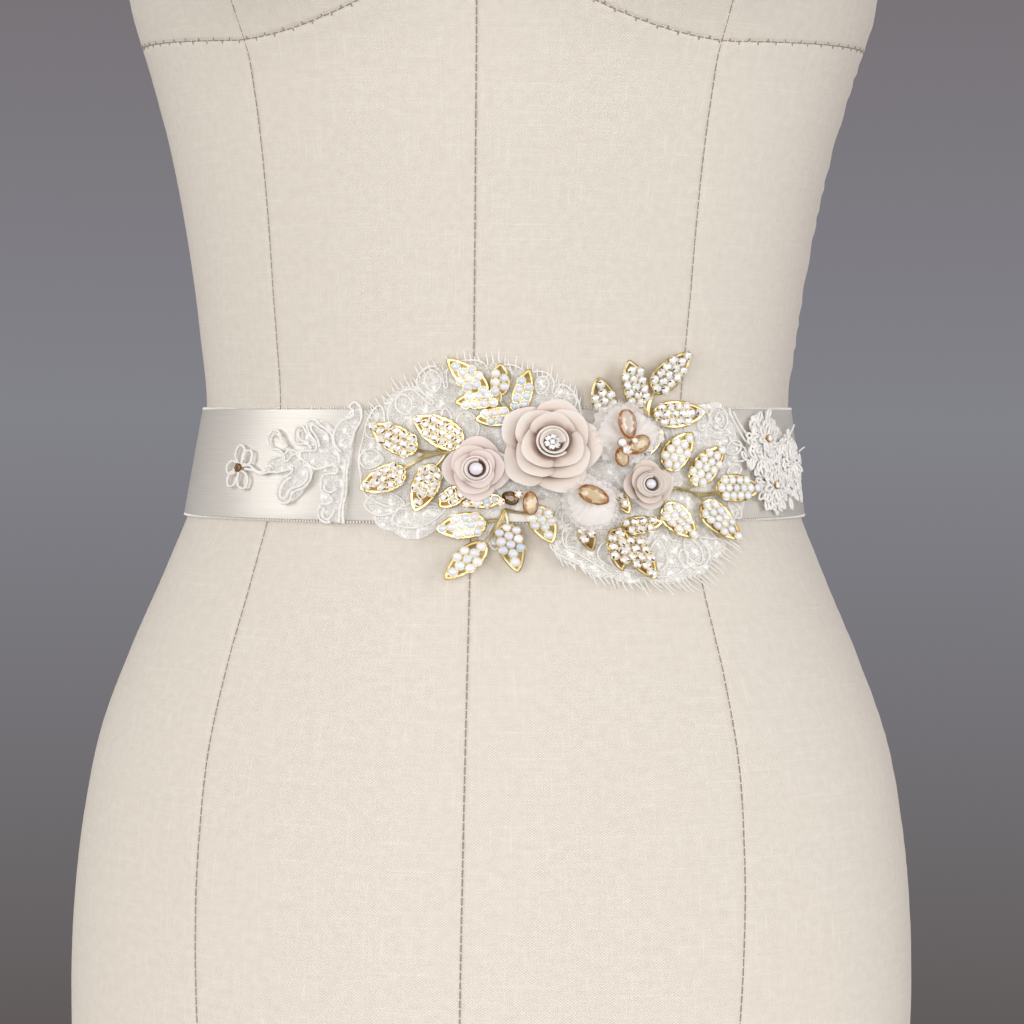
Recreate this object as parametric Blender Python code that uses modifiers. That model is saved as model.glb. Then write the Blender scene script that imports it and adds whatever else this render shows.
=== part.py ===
"""A bridal sash of satin ribbon, lace, clay roses and cast leaves on a limbless dress form.

Objects are in metres with +Z up, the front facing -Y, and the origin under the middle of the base.
Patterns are drawn flat, in millimetres: x runs along the sash from the centre front, y up from the
sash's middle line, and z out from the form. lay() bends a flat pattern round the form.
"""

import math
from collections import namedtuple

import bmesh
import bpy
import numpy as np
from mathutils import Matrix, Vector

MM = 0.001
SEAM = 0.3
BASE_THICK = 18.0
BODY_BELOW = 312.0
SASH_HEIGHT = (BASE_THICK + BODY_BELOW) * MM

# The dress form, level by level, above and below the sash's middle line.
Level = namedtuple("Level", "height half_width front back")
LEVELS = [
    Level(-312, 148.0, 104.0, 122.0),
    Level(-270, 152.5, 108.0, 128.0),
    Level(-220, 156.0, 110.0, 131.0),
    Level(-170, 156.0, 109.0, 129.0),
    Level(-130, 152.0, 106.0, 122.0),
    Level(-100, 146.0, 103.0, 114.0),
    Level(-70, 135.0, 99.0, 105.0),
    Level(-40, 122.0, 95.0, 96.0),
    Level(-12, 111.3, 91.5, 90.0),
    Level(17, 107.5, 90.0, 87.5),
    Level(45, 110.2, 90.5, 88.0),
    Level(80, 115.3, 92.0, 91.0),
    Level(115, 122.5, 94.0, 96.0),
    Level(140, 129.5, 95.0, 100.0),
    Level(165, 137.0, 97.0, 103.0),
    Level(200, 140.0, 98.0, 106.0),
    Level(240, 142.0, 95.0, 108.0),
    Level(280, 149.0, 87.0, 105.0),
    Level(310, 160.0, 76.0, 97.0),
    Level(330, 162.0, 66.0, 89.0),
    Level(345, 148.0, 58.0, 83.0),
    Level(358, 118.0, 53.0, 78.0),
    Level(370, 84.0, 50.0, 72.0),
    Level(382, 64.0, 49.0, 66.0),
    Level(400, 55.0, 48.0, 58.0),
    Level(430, 52.0, 50.0, 52.0),
]
HEIGHTS = np.array([level.height for level in LEVELS], float)
SIZES = np.array([level[1:] for level in LEVELS], float)
SLOPES = np.gradient(SIZES, HEIGHTS, axis=0)

Bust = namedtuple("Bust", "apart height wide below above out")
BUST = Bust(apart=80.0, height=196.0, wide=50.0, below=34.0, above=62.0, out=36.0)

FORM_SIDES = 36
Band = namedtuple("Band", "bottom top step")
FORM_BANDS = [
    Band(-312, -60, 36),
    Band(-60, 60, 12),
    Band(60, 300, 24),
    Band(300, 390, 10),
    Band(390, 430, 20),
]

# The sash ribbon and the layers that lie on it, as heights above the form.
RIBBON_WIDTH = 40.0
RIBBON_TILT = 1.4
RIBBON_UNDER = 0.5
RIBBON_THICK = 1.0
RIBBON_LAP = 30.0
RIBBON_RAMP = 18.0
RAMP_AHEAD = 1.2
LACE_UNDER = RIBBON_UNDER + RIBBON_THICK + 0.4
LACE_THICK = 1.0
LACE_TOP = LACE_UNDER + LACE_THICK
BEND_STEP = 8.0
SLOPE_REACH = 2.0
FLAT_MERGE = 0.002

# Outlines: each side runs to the next corner and bows out by its bulge.
Corner = namedtuple("Corner", "along up bulge")
UPPER_LACE = [
    Corner(-37.9, 3.9, 1.0),
    Corner(-35.4, 13.5, 1.2),
    Corner(-30.5, 20.1, 2.2),
    Corner(-19.5, 26.7, 2.6),
    Corner(-8.6, 32.2, 2.0),
    Corner(3.7, 34.0, 1.4),
    Corner(12.9, 32.6, 1.0),
    Corner(21.6, 30.6, 1.4),
    Corner(29.1, 26.7, 1.8),
    Corner(36.1, 21.3, 0.0),
    Corner(38.9, 12.5, 0.0),
    Corner(34.6, -1.2, 0.0),
    Corner(27.2, -11.2, 0.0),
    Corner(15.9, -11.6, 0.0),
    Corner(12.0, -17.0, 0.0),
    Corner(11.0, -25.0, 1.6),
    Corner(3.0, -25.5, 0.0),
    Corner(0.5, -18.6, 0.0),
    Corner(-6.8, -15.6, 1.0),
    Corner(-12.4, -23.4, 2.4),
    Corner(-25.0, -22.8, 2.0),
    Corner(-32.8, -16.4, 1.0),
    Corner(-35.3, -9.8, 1.0),
    Corner(-33.4, -3.6, 1.0),
]
LOWER_LACE = [
    Corner(28.2, -11.6, 0.6),
    Corner(25.7, -27.7, 1.6),
    Corner(33.6, -33.7, 1.6),
    Corner(43.1, -37.6, 1.6),
    Corner(54.4, -38.6, 1.8),
    Corner(68.5, -37.8, 1.8),
    Corner(78.2, -32.2, 1.4),
    Corner(85.9, -26.5, 1.4),
    Corner(91.9, -18.7, 1.2),
    Corner(98.0, -11.7, 1.0),
    Corner(95.6, -4.6, 1.0),
    Corner(97.0, 1.7, 0.8),
    Corner(96.6, 8.4, 0.8),
    Corner(96.6, 14.8, 1.8),
    Corner(92.5, 20.4, 1.8),
    Corner(85.2, 22.0, 1.0),
    Corner(76.8, 19.2, 0.8),
    Corner(61.1, 15.5, 0.6),
    Corner(43.1, 14.0, 0.0),
    Corner(39.9, 12.3, 0.0),
    Corner(35.6, -1.4, 0.0),
]
ARC_STEPS = 4

# The eyelash fringe: which corners of the outline it follows, and its thread lengths.
Fringe = namedtuple("Fringe", "name lace first last strands length sway")
FRINGES = [
    Fringe("fringe_upper", UPPER_LACE, 2, 9, 30, 4.4, 0.7),
    Fringe("fringe_lower", LOWER_LACE, 1, 8, 30, 4.2, -0.6),
]
FRINGE_CLEAR = 0.5
FRINGE_STRIP = 1.0
FRINGE_THICK = 0.7
THREAD_TAPER = 0.5
Beat = namedtuple("Beat", "amount pace")
THREAD_LEAN = Beat(0.25, 2.3)
THREAD_LENGTH = Beat(0.16, 1.7)

# Lobes of an applique: leaves, petals and cords as long ovals from a base to a tip.
Lobe = namedtuple("Lobe", "along up turn length width")
FLOWER_LEFT = Lobe(-91.8, -2.5, 18.0, 8.6, 5.2)
LEFT_LOBES = [
    Lobe(-88.2, -2.6, -3.0, 16.0, 2.4),
    Lobe(-77.0, -3.4, 9.0, 28.0, 6.4),
    Lobe(-66.5, 1.2, 138.0, 12.4, 5.0),
    Lobe(-54.6, 2.0, 133.0, 13.0, 5.0),
    Lobe(-43.5, -4.0, 122.0, 22.5, 7.4),
    Lobe(-55.5, -1.2, -129.0, 16.6, 8.2),
    Lobe(-42.6, 10.0, -91.0, 31.5, 3.2),
    Lobe(-43.0, -8.2, -178.0, 9.4, 6.2),
    Lobe(-43.0, -17.0, -178.0, 8.8, 5.8),
    Lobe(-42.0, 7.5, 112.0, 12.8, 5.6),
]
RIGHT_LOBES = [
    Lobe(99.5, 2.0, 0.0, 40.0, 11.0),
    Lobe(104.5, 3.0, 62.0, 15.0, 6.0),
    Lobe(111.0, 3.0, 72.0, 15.5, 7.0),
    Lobe(119.0, 3.0, 80.0, 13.5, 7.0),
    Lobe(106.5, 0.5, -62.0, 13.0, 6.0),
    Lobe(113.0, 0.5, -82.0, 16.0, 7.5),
    Lobe(120.0, 0.5, -66.0, 15.0, 7.0),
    Lobe(129.0, 2.0, 30.0, 14.0, 6.0),
    Lobe(129.0, 1.0, -24.0, 16.5, 6.5),
]
LOBE_SIDES = 12

# Raised thread flowers of the right applique.
Blossom = namedtuple("Blossom", "name along up reach petals turn")
BLOSSOMS = [
    Blossom("blossom_top", 115.4, 9.8, 8.4, 6, 20.0),
    Blossom("blossom_low", 116.6, -7.4, 8.0, 6, 65.0),
    Blossom("blossom_side", 130.8, 1.3, 7.8, 6, 0.0),
]
RingRow = namedtuple("RingRow", "radius height")
HemRow = namedtuple("HemRow", "share height")
BLOSSOM_FOOT = RingRow(1.4, 0.0)
BLOSSOM_HEM = [HemRow(1.0, 1.5), HemRow(1.0, 2.5), HemRow(0.5, 1.9)]
BLOSSOM_EYE = [RingRow(1.7, 1.5), RingRow(1.2, 2.9)]
BLOSSOM_PINCH = 0.34
SIDES_A_PETAL = 4

# Cast leaves: where the stem meets the leaf, its turn, size, height and the rise of its tip.
Leaf = namedtuple("Leaf", "along up turn length width under rise")
Stem = namedtuple("Stem", "along up to_along to_up")
Spray = namedtuple("Spray", "name leaves stems")
PLATE = 1.0
BED = 1.1
BED_SHARE = 0.8
STEM_RADIUS = 0.8
STEM_MIDDLE = 4.1
SPRAYS = [
    Spray(
        "spray_left",
        [
            Leaf(-17.9, 4.7, 153, 17.7, 9.2, 3.5, 1.4),
            Leaf(-2.9, 7.3, 153, 18.2, 10.5, 3.5, 1.4),
            Leaf(-21.3, -2.3, -156, 15.9, 9.4, 3.5, 1.4),
            Leaf(-11.9, -0.2, -109, 16.7, 9.2, 3.5, 1.4),
        ],
        [
            Stem(-3.5, 5.2, -19.5, 4.9),
            Stem(-10.0, 5.0, -23.0, -2.8),
            Stem(-7.5, 5.1, -12.6, -2.0),
            Stem(-6.0, 5.1, -4.6, 8.4),
        ],
    ),
    Spray(
        "spray_top",
        [
            Leaf(4.7, 24.5, 138, 17.1, 7.7, 3.5, 1.6),
            Leaf(9.0, 24.0, 89, 10.8, 6.5, 3.5, 1.6),
            Leaf(8.3, 22.8, -174, 13.7, 6.2, 3.5, 0.6),
            Leaf(13.7, 17.3, -171, 12.5, 6.5, 3.5, 0.6),
            Leaf(15.1, 18.4, 77, 14.8, 6.5, 3.5, 1.4),
        ],
        [
            Stem(14.9, 17.6, 6.5, 24.8),
            Stem(9.0, 22.8, 9.0, 26.0),
            Stem(9.6, 22.2, 6.6, 22.6),
            Stem(14.9, 17.6, 15.6, 20.6),
            Stem(14.9, 17.6, 11.6, 17.0),
        ],
    ),
    Spray(
        "spray_bottom",
        [
            Leaf(4.9, -19.5, -170, 15.4, 9.2, 3.5, 1.4),
            Leaf(4.7, -26.7, -133, 16.6, 7.8, 3.5, 1.8),
            Leaf(11.3, -19.7, -79, 16.8, 8.2, 3.5, 1.8),
            Leaf(20.8, -13.8, -70, 13.3, 8.3, 3.5, 1.0),
        ],
        [
            Stem(10.7, -14.8, 3.2, -28.0),
            Stem(8.6, -18.2, 2.8, -19.8),
            Stem(10.7, -14.8, 11.8, -22.0),
            Stem(10.7, -14.8, 21.6, -15.6),
        ],
    ),
    Spray(
        "spray_top_right",
        [
            Leaf(45.0, 18.0, 105, 12.8, 8.1, 3.4, 0.8),
            Leaf(56.9, 20.6, 110, 17.0, 9.0, 3.5, 1.8),
            Leaf(61.3, 26.2, 50, 17.8, 10.0, 3.5, 2.0),
            Leaf(61.5, 17.7, 3, 19.2, 10.0, 3.5, 1.6),
        ],
        [
            Stem(59.0, 18.0, 62.6, 27.8),
            Stem(59.0, 18.0, 56.0, 23.0),
            Stem(59.0, 18.0, 64.0, 17.9),
            Stem(59.0, 18.0, 44.6, 19.6),
        ],
    ),
    Spray(
        "spray_right",
        [
            Leaf(64.3, -0.2, 47, 15.8, 10.0, 3.5, 1.2),
            Leaf(73.9, -5.4, 42, 18.0, 9.8, 3.5, 1.4),
            Leaf(83.9, -7.3, -1, 21.9, 9.9, 3.5, 1.8),
            Leaf(78.0, -12.2, -51, 17.7, 11.4, 3.5, 1.6),
            Leaf(63.5, -12.9, -53, 14.9, 10.8, 3.5, 1.2),
        ],
        [
            Stem(62.5, -6.9, 74.5, -9.0),
            Stem(74.5, -9.0, 87.0, -7.8),
            Stem(74.5, -9.0, 79.6, -14.0),
            Stem(71.0, -8.4, 76.0, -3.8),
            Stem(62.5, -6.9, 66.0, 1.4),
            Stem(62.5, -6.9, 65.0, -15.0),
        ],
    ),
    Spray(
        "spray_low_right",
        [
            Leaf(47.9, -20.8, 7, 14.1, 6.4, 3.5, 0.4),
            Leaf(45.6, -21.6, -90, 14.0, 6.3, 3.5, 1.4),
            Leaf(49.5, -24.2, -67, 15.6, 8.6, 3.5, 1.6),
        ],
        [
            Stem(47.2, -20.9, 50.2, -20.6),
            Stem(47.2, -20.9, 45.6, -24.4),
            Stem(47.2, -20.9, 50.2, -25.8),
        ],
    ),
]
SINGLE_LEAVES = {
    "leaf_behind": Leaf(57.6, 4.6, 47, 10.4, 4.4, 3.2, 0.2),
    "leaf_under_rose": Leaf(-2.9, -8.2, -139, 9.0, 6.4, 3.2, 0.6),
    "leaf_opal": Leaf(9.5, -11.1, -168, 10.4, 4.4, 3.2, 0.4),
    "leaf_beside": Leaf(47.2, -8.2, -64, 8.4, 4.4, 3.2, 0.0),
    "leaf_low": Leaf(35.7, -18.8, -81, 10.3, 5.4, 3.3, 0.9),
}
SINGLE_BED = 0.7
LeafRow = namedtuple("LeafRow", "share width")
LEAF_SHAPE = [
    LeafRow(0.0, 0.14),
    LeafRow(0.2, 0.76),
    LeafRow(0.48, 1.0),
    LeafRow(0.8, 0.58),
    LeafRow(1.0, 0.06),
]
BED_CLEAR = 0.02
STEM_STEP = 0.03

# Clay roses: petals in rounds from the outside in. A round's base and lip are given as distance from
# the rose's middle and height above the form, at the big rose's size.
Rose = namedtuple("Rose", "name along up scale turn petals")
ROSES = [
    Rose("rose_big", 25.4, 6.1, 0.98, 15.0, (5, 4, 3, 2)),
    Rose("rose_mid", 1.5, -1.9, 0.68, 50.0, (4, 3)),
    Rose("rose_small", 56.5, -7.1, 0.545, 80.0, (4, 2)),
]
Round = namedtuple("Round", "base base_height lip lip_height")
ROUNDS = [
    Round(5.0, 1.2, 16.0, 5.6),
    Round(4.2, 2.4, 12.4, 8.6),
    Round(3.4, 4.0, 8.4, 11.0),
    Round(2.8, 6.0, 5.0, 12.4),
]
ROUND_TURN = 37.0
PETAL_LAP = 1.28
PETAL_DROOP = 0.3
PETAL_SWIRL = 0.55
LIP_FLARE = 1.2
LIP_CUP = 0.75
PETAL_THICK = 1.1
PETAL_STEPS_ROUND = 4
PETAL_STEPS_UP = 2
ROSE_UNDER = LACE_TOP + 0.4
Bud = namedtuple("Bud", "radius height")
BUD = [Bud(6.4, 0.0), Bud(6.0, 2.6), Bud(4.2, 6.0), Bud(2.6, 8.0), Bud(2.4, 10.8), Bud(1.6, 11.8)]
BUD_SIDES = 12

# Organza petals: the reach of their edge in eight directions, counted from +x towards +y.
Organza = namedtuple("Organza", "name along up reaches")
ORGANZA = [
    Organza("organza_top", 50.4, 10.6, [12.6, 9.4, 11.6, 12.0, 11.0, 11.4, 9.8, 8.6]),
    Organza("organza_low", 38.2, -12.4, [8.2, 8.6, 9.2, 9.6, 9.2, 9.8, 10.0, 8.8]),
]
ORGANZA_SIDES = 16
ORGANZA_UNDER = 6.6
ORGANZA_THICK = 0.8
ORGANZA_WAVE = 0.3
ORGANZA_WAVES = 3
ORGANZA_FOLD = 0.6
ORGANZA_FOOT = RingRow(1.4, LACE_TOP + SEAM)
ORGANZA_NECK = RingRow(1.8, ORGANZA_UNDER)
ORGANZA_EYE = RingRow(1.6, ORGANZA_UNDER + ORGANZA_THICK)

# Glass drops: middle, height of the middle above the form, turn of the point, and size.
Drop = namedtuple("Drop", "name along up height turn length width")
DROPS = [
    Drop("drop_top", 50.2, 16.0, 11.0, -84.0, 9.0, 6.4),
    Drop("drop_side", 55.6, 8.6, 10.7, 215.0, 7.4, 5.4),
    Drop("drop_low", 48.8, 3.4, 10.5, 100.0, 5.6, 4.6),
    Drop("drop_organza", 38.7, -10.3, 10.7, -25.0, 10.2, 6.0),
    Drop("drop_dark", 12.6, -11.0, 7.3, 150.0, 5.4, 4.4),
    Drop("drop_amber", 18.8, -12.6, 8.2, 90.0, 8.0, 4.8),
]
Waist = namedtuple("Waist", "share width")
DROP_SHAPE = [Waist(-0.5, 0.3), Waist(-0.36, 0.8), Waist(-0.1, 1.0), Waist(0.2, 0.74), Waist(0.5, 0.16)]
DROP_SIDES = 8
DROP_DEPTH = 0.85

# The base board and the neck cap.
BASE_HALF_WIDTH = 166.0
BASE_HALF_DEPTH = 140.0
CAP_SIDES = 36
CAP_THICK = 8.0
CAP_INSET = 2.0
ROUNDING = 2.0

Finish = namedtuple("Finish", "colour roughness metallic")
FINISHES = {
    "form_cover": Finish((0.78, 0.70, 0.61), 0.9, 0.0),
    "painted_wood": Finish((0.72, 0.68, 0.62), 0.5, 0.0),
    "satin_ribbon": Finish((0.62, 0.58, 0.53), 0.35, 0.0),
    "ivory_lace": Finish((0.88, 0.86, 0.80), 0.9, 0.0),
    "air_clay": Finish((0.74, 0.60, 0.54), 0.6, 0.0),
    "gilt_metal": Finish((0.72, 0.52, 0.20), 0.3, 1.0),
    "glass": Finish((0.80, 0.55, 0.32), 0.1, 0.0),
    "organza": Finish((0.86, 0.80, 0.74), 0.6, 0.0),
}


def level_sizes(height):
    """Half width, front and back depth of the form at a height, on a smooth curve through LEVELS."""
    height = min(max(height, HEIGHTS[0]), HEIGHTS[-1])
    row = min(max(int(np.searchsorted(HEIGHTS, height)) - 1, 0), len(HEIGHTS) - 2)
    step = HEIGHTS[row + 1] - HEIGHTS[row]
    u = (height - HEIGHTS[row]) / step
    ends = SIZES[row] * (2 * u**3 - 3 * u**2 + 1) + SIZES[row + 1] * (3 * u**2 - 2 * u**3)
    return ends + step * (SLOPES[row] * (u**3 - 2 * u**2 + u) + SLOPES[row + 1] * (u**3 - u**2))


def form_point(angle, height):
    """A point of the form: angle is 0 at the centre front and grows towards +X."""
    half_width, front, back = level_sizes(height)
    ahead = math.cos(angle)
    x = half_width * math.sin(angle)
    y = -ahead * (front if ahead > 0 else back)
    fall = BUST.below if height < BUST.height else BUST.above
    rise = math.exp(-(((height - BUST.height) / fall) ** 2))
    cup = math.exp(-(((abs(x) - BUST.apart) / BUST.wide) ** 2)) * min(max(2.2 * ahead, 0.0), 1.0)
    return np.array([x, y - BUST.out * rise * cup, height])


RING_ANGLES = np.linspace(-math.pi, math.pi, 721)
RING = np.array([form_point(angle, 0.0) for angle in RING_ANGLES])
RING_LENGTHS = np.append(0.0, np.cumsum(np.linalg.norm(np.diff(RING, axis=0), axis=1)))
WAIST_LENGTH = RING_LENGTHS[-1]
RING_LENGTHS = RING_LENGTHS - WAIST_LENGTH / 2


def angle_at(along):
    """The angle round the form at a length along the waist."""
    turns = math.floor((along + WAIST_LENGTH / 2) / WAIST_LENGTH)
    return float(np.interp(along - turns * WAIST_LENGTH, RING_LENGTHS, RING_ANGLES)) + 2 * math.pi * turns


def ribbon_middle(along):
    return RIBBON_TILT * math.sin(angle_at(along))


def cloth_bed(along, up):
    """The form, or the straight line that the ribbon draws across the waist's hollow."""
    angle = angle_at(along)
    low = ribbon_middle(along) - RIBBON_WIDTH / 2
    share = (up - low) / RIBBON_WIDTH
    if 0 < share < 1:
        return (1 - share) * form_point(angle, low) + share * form_point(angle, low + RIBBON_WIDTH)
    return form_point(angle, up)


def lay(flat):
    """A flat pattern's point, bent round the form, in metres from the middle of the sash."""
    along, up, out = flat
    beside = cloth_bed(along + SLOPE_REACH, up) - cloth_bed(along - SLOPE_REACH, up)
    above = cloth_bed(along, up + SLOPE_REACH) - cloth_bed(along, up - SLOPE_REACH)
    normal = np.cross(beside, above)
    return Vector((cloth_bed(along, up) + out * normal / np.linalg.norm(normal)) * MM)


def collection_named(name, hidden=False):
    found = bpy.data.collections.new(name)
    bpy.context.scene.collection.children.link(found)
    found.hide_render = hidden
    return found


def finish_named(name):
    found = bpy.data.materials.get(name)
    if found:
        return found
    finish = FINISHES[name]
    found = bpy.data.materials.new(name)
    found.use_nodes = True
    shader = found.node_tree.nodes["Principled BSDF"]
    shader.inputs["Base Color"].default_value = (*finish.colour, 1.0)
    shader.inputs["Roughness"].default_value = finish.roughness
    shader.inputs["Metallic"].default_value = finish.metallic
    return found


def add_object(name, bm, finish):
    """Makes an object of a mesh that is already in metres from the middle of the sash."""
    bmesh.ops.recalc_face_normals(bm, faces=bm.faces)
    if bm.calc_volume(signed=True) < 0:
        bmesh.ops.reverse_faces(bm, faces=bm.faces)
    mesh = bpy.data.meshes.new(name)
    bm.to_mesh(mesh)
    bm.free()
    mesh.shade_smooth()
    mesh.set_sharp_from_angle(angle=math.radians(40))
    obj = bpy.data.objects.new(name, mesh)
    obj.data.materials.append(finish_named(finish))
    obj.parent = sash_middle
    parts.objects.link(obj)
    return obj


def add_laid(name, bm, finish):
    """Bends a flat pattern round the form and makes an object of it."""
    bmesh.ops.triangulate(bm, faces=bm.faces)
    for vert in bm.verts:
        vert.co = lay(vert.co)
    return add_object(name, bm, finish)


def loft(bm, rings):
    """Skins closed rings of points one after another, closes both ends and returns the side faces."""
    rows = [[bm.verts.new(point) for point in ring] for ring in rings]
    count = len(rows[0])
    sides = []
    for row, following in zip(rows, rows[1:]):
        for i in range(count):
            j = (i + 1) % count
            sides.append(bm.faces.new((row[i], row[j], following[j], following[i])))
    bm.faces.new(rows[0][::-1])
    bm.faces.new(rows[-1])
    return sides


def circle(radius, height, sides, squash=1.0):
    turns = [2 * math.pi * i / sides for i in range(sides)]
    return [Vector((radius * math.cos(a), radius * squash * math.sin(a), height)) for a in turns]


def placed(along, up, turn=0.0):
    """The matrix that puts a pattern drawn at the origin at its place on the flat sash."""
    return Matrix.Translation((along, up, 0.0)) @ Matrix.Rotation(math.radians(turn), 4, "Z")


def slab(bm, points, under, over):
    """A flat outline raised from one height to another."""
    face = bm.faces.new([bm.verts.new((x, y, under)) for x, y in points])
    grown = bmesh.ops.extrude_face_region(bm, geom=[face])["geom"]
    for item in grown:
        if isinstance(item, bmesh.types.BMVert):
            item.co.z = over


def cut_for_bending(bm, step=BEND_STEP):
    """Cuts a flat pattern across, so that it can follow the form."""
    places = [vert.co.x for vert in bm.verts]
    first, last = math.ceil(min(places) / step), math.floor(max(places) / step)
    planes = [((i * step, 0, 0), (1, 0, 0)) for i in range(first, last + 1)]
    planes += [((0, side * RIBBON_WIDTH / 2, 0), (0, 1, 0)) for side in (-1, 1)]
    for point, normal in planes:
        everything = bm.verts[:] + bm.edges[:] + bm.faces[:]
        bmesh.ops.bisect_plane(bm, geom=everything, dist=1e-3, plane_co=point, plane_no=normal)


def united(bodies):
    """One body from several closed ones that cross each other."""
    objects = []
    for number, bm in enumerate(bodies):
        bmesh.ops.triangulate(bm, faces=bm.faces)
        bmesh.ops.recalc_face_normals(bm, faces=bm.faces)
        if bm.calc_volume(signed=True) < 0:
            bmesh.ops.reverse_faces(bm, faces=bm.faces)
        mesh = bpy.data.meshes.new(f"body_{number}")
        bm.to_mesh(mesh)
        bm.free()
        obj = bpy.data.objects.new(f"body_{number}", mesh)
        obj.display_type = "WIRE"
        cutters.objects.link(obj)
        objects.append(obj)
    for other in objects[1:]:
        union = objects[0].modifiers.new(other.name, "BOOLEAN")
        union.operation = "UNION"
        union.solver = "MANIFOLD"
        union.object = other
    graph = bpy.context.evaluated_depsgraph_get()
    mesh = bpy.data.meshes.new_from_object(objects[0].evaluated_get(graph))
    whole = bmesh.new()
    whole.from_mesh(mesh)
    bmesh.ops.remove_doubles(whole, verts=whole.verts, dist=FLAT_MERGE)
    bmesh.ops.dissolve_limit(whole, angle_limit=math.radians(0.5), verts=whole.verts, edges=whole.edges)
    loose = [edge for edge in whole.edges if not edge.link_faces]
    bmesh.ops.delete(whole, geom=loose, context="EDGES")
    for obj in objects:
        bpy.data.objects.remove(obj)
    bpy.data.meshes.remove(mesh)
    return whole


def form_heights():
    levels = []
    for band in FORM_BANDS:
        count = round((band.top - band.bottom) / band.step)
        levels += [band.bottom + (band.top - band.bottom) * i / count for i in range(count)]
    return levels + [FORM_BANDS[-1].top]


def make_form():
    bm = bmesh.new()
    rings = []
    for height in form_heights():
        level = max(height, -BODY_BELOW + SEAM)
        turns = [2 * math.pi * i / FORM_SIDES for i in range(FORM_SIDES)]
        rings.append([Vector(form_point(turn, level) * MM) for turn in turns])
    loft(bm, rings)
    add_object("form_body", bm, "form_cover")


def make_disc(name, half_width, half_depth, thick, height, finish):
    """An oval board or cap with rounded edges, its underside at a height above the floor."""
    bpy.ops.mesh.primitive_cylinder_add(vertices=CAP_SIDES, radius=1.0, depth=thick * MM)
    obj = bpy.context.object
    obj.name = obj.data.name = name
    obj.location = (0.0, 0.0, (height + thick / 2) * MM)
    for vert in obj.data.vertices:
        vert.co.x *= half_width * MM
        vert.co.y *= half_depth * MM
    rounding = obj.modifiers.new("rounding", "BEVEL")
    rounding.width = ROUNDING * MM
    rounding.segments = 1
    obj.data.materials.append(finish_named(finish))
    for holder in obj.users_collection:
        holder.objects.unlink(obj)
    parts.objects.link(obj)


def make_ribbon():
    half = (WAIST_LENGTH + RIBBON_LAP) / 2
    edge = RIBBON_WIDTH / 2
    bm = bmesh.new()
    slab(
        bm,
        [(-half, -edge), (half, -edge), (half, edge), (-half, edge)],
        RIBBON_UNDER,
        RIBBON_UNDER + RIBBON_THICK,
    )
    cut_for_bending(bm)
    lap_start = WAIST_LENGTH / 2 - RIBBON_LAP / 2
    for vert in bm.verts:
        share = min(max((vert.co.x - lap_start + RIBBON_RAMP + RAMP_AHEAD) / RIBBON_RAMP, 0.0), 1.0)
        vert.co.z += (RIBBON_THICK + SEAM) * share
        vert.co.y += ribbon_middle(vert.co.x)
    add_laid("sash_ribbon", bm, "satin_ribbon")


def outward_sign(corners):
    """1 where the corners run anticlockwise, -1 where they run clockwise."""
    following = corners[1:] + corners[:1]
    area = sum(a.along * b.up - b.along * a.up for a, b in zip(corners, following))
    return math.copysign(1.0, area)


def side_normal(here, there, sign):
    run = Vector((there.along - here.along, there.up - here.up))
    return sign * Vector((run.y, -run.x)).normalized()


def outline_points(corners):
    sign = outward_sign(corners)
    points = []
    for here, there in zip(corners, corners[1:] + corners[:1]):
        start, end = Vector((here.along, here.up)), Vector((there.along, there.up))
        steps = ARC_STEPS if here.bulge else 1
        for i in range(steps):
            u = i / steps
            bow = 4 * u * (1 - u) * here.bulge
            points.append(start.lerp(end, u) + bow * side_normal(here, there, sign))
    return points


def make_lace(name, corners):
    bm = bmesh.new()
    slab(bm, outline_points(corners), LACE_UNDER, LACE_TOP)
    cut_for_bending(bm)
    add_laid(name, bm, "ivory_lace")


def fringe_path(fringe):
    """Evenly spaced points just outside a lace's scallops, and the outward direction at each."""
    sign = outward_sign(fringe.lace)
    corners = fringe.lace[fringe.first : fringe.last + 1]
    raw = []
    for here, there in zip(corners, corners[1:]):
        start, end = Vector((here.along, here.up)), Vector((there.along, there.up))
        for i in range(ARC_STEPS + 1):
            u = i / ARC_STEPS
            bow = here.bulge * (0.5 + 2 * u * (1 - u)) + FRINGE_CLEAR
            raw.append(start.lerp(end, u) + bow * side_normal(here, there, sign))
    raw = np.array(raw)
    for _ in range(2):
        raw[1:-1] = (raw[:-2] + 2 * raw[1:-1] + raw[2:]) / 4
    lengths = np.append(0.0, np.cumsum(np.linalg.norm(np.diff(raw, axis=0), axis=1)))
    spots = np.linspace(0.0, lengths[-1], 2 * fringe.strands + 2)
    points = np.stack([np.interp(spots, lengths, raw[:, axis]) for axis in (0, 1)], axis=1)
    runs = np.gradient(points, axis=0)
    outward = sign * np.stack([runs[:, 1], -runs[:, 0]], axis=1)
    outward /= np.linalg.norm(outward, axis=1)[:, None]
    return [Vector(point) for point in points], [Vector(way) for way in outward]


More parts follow.
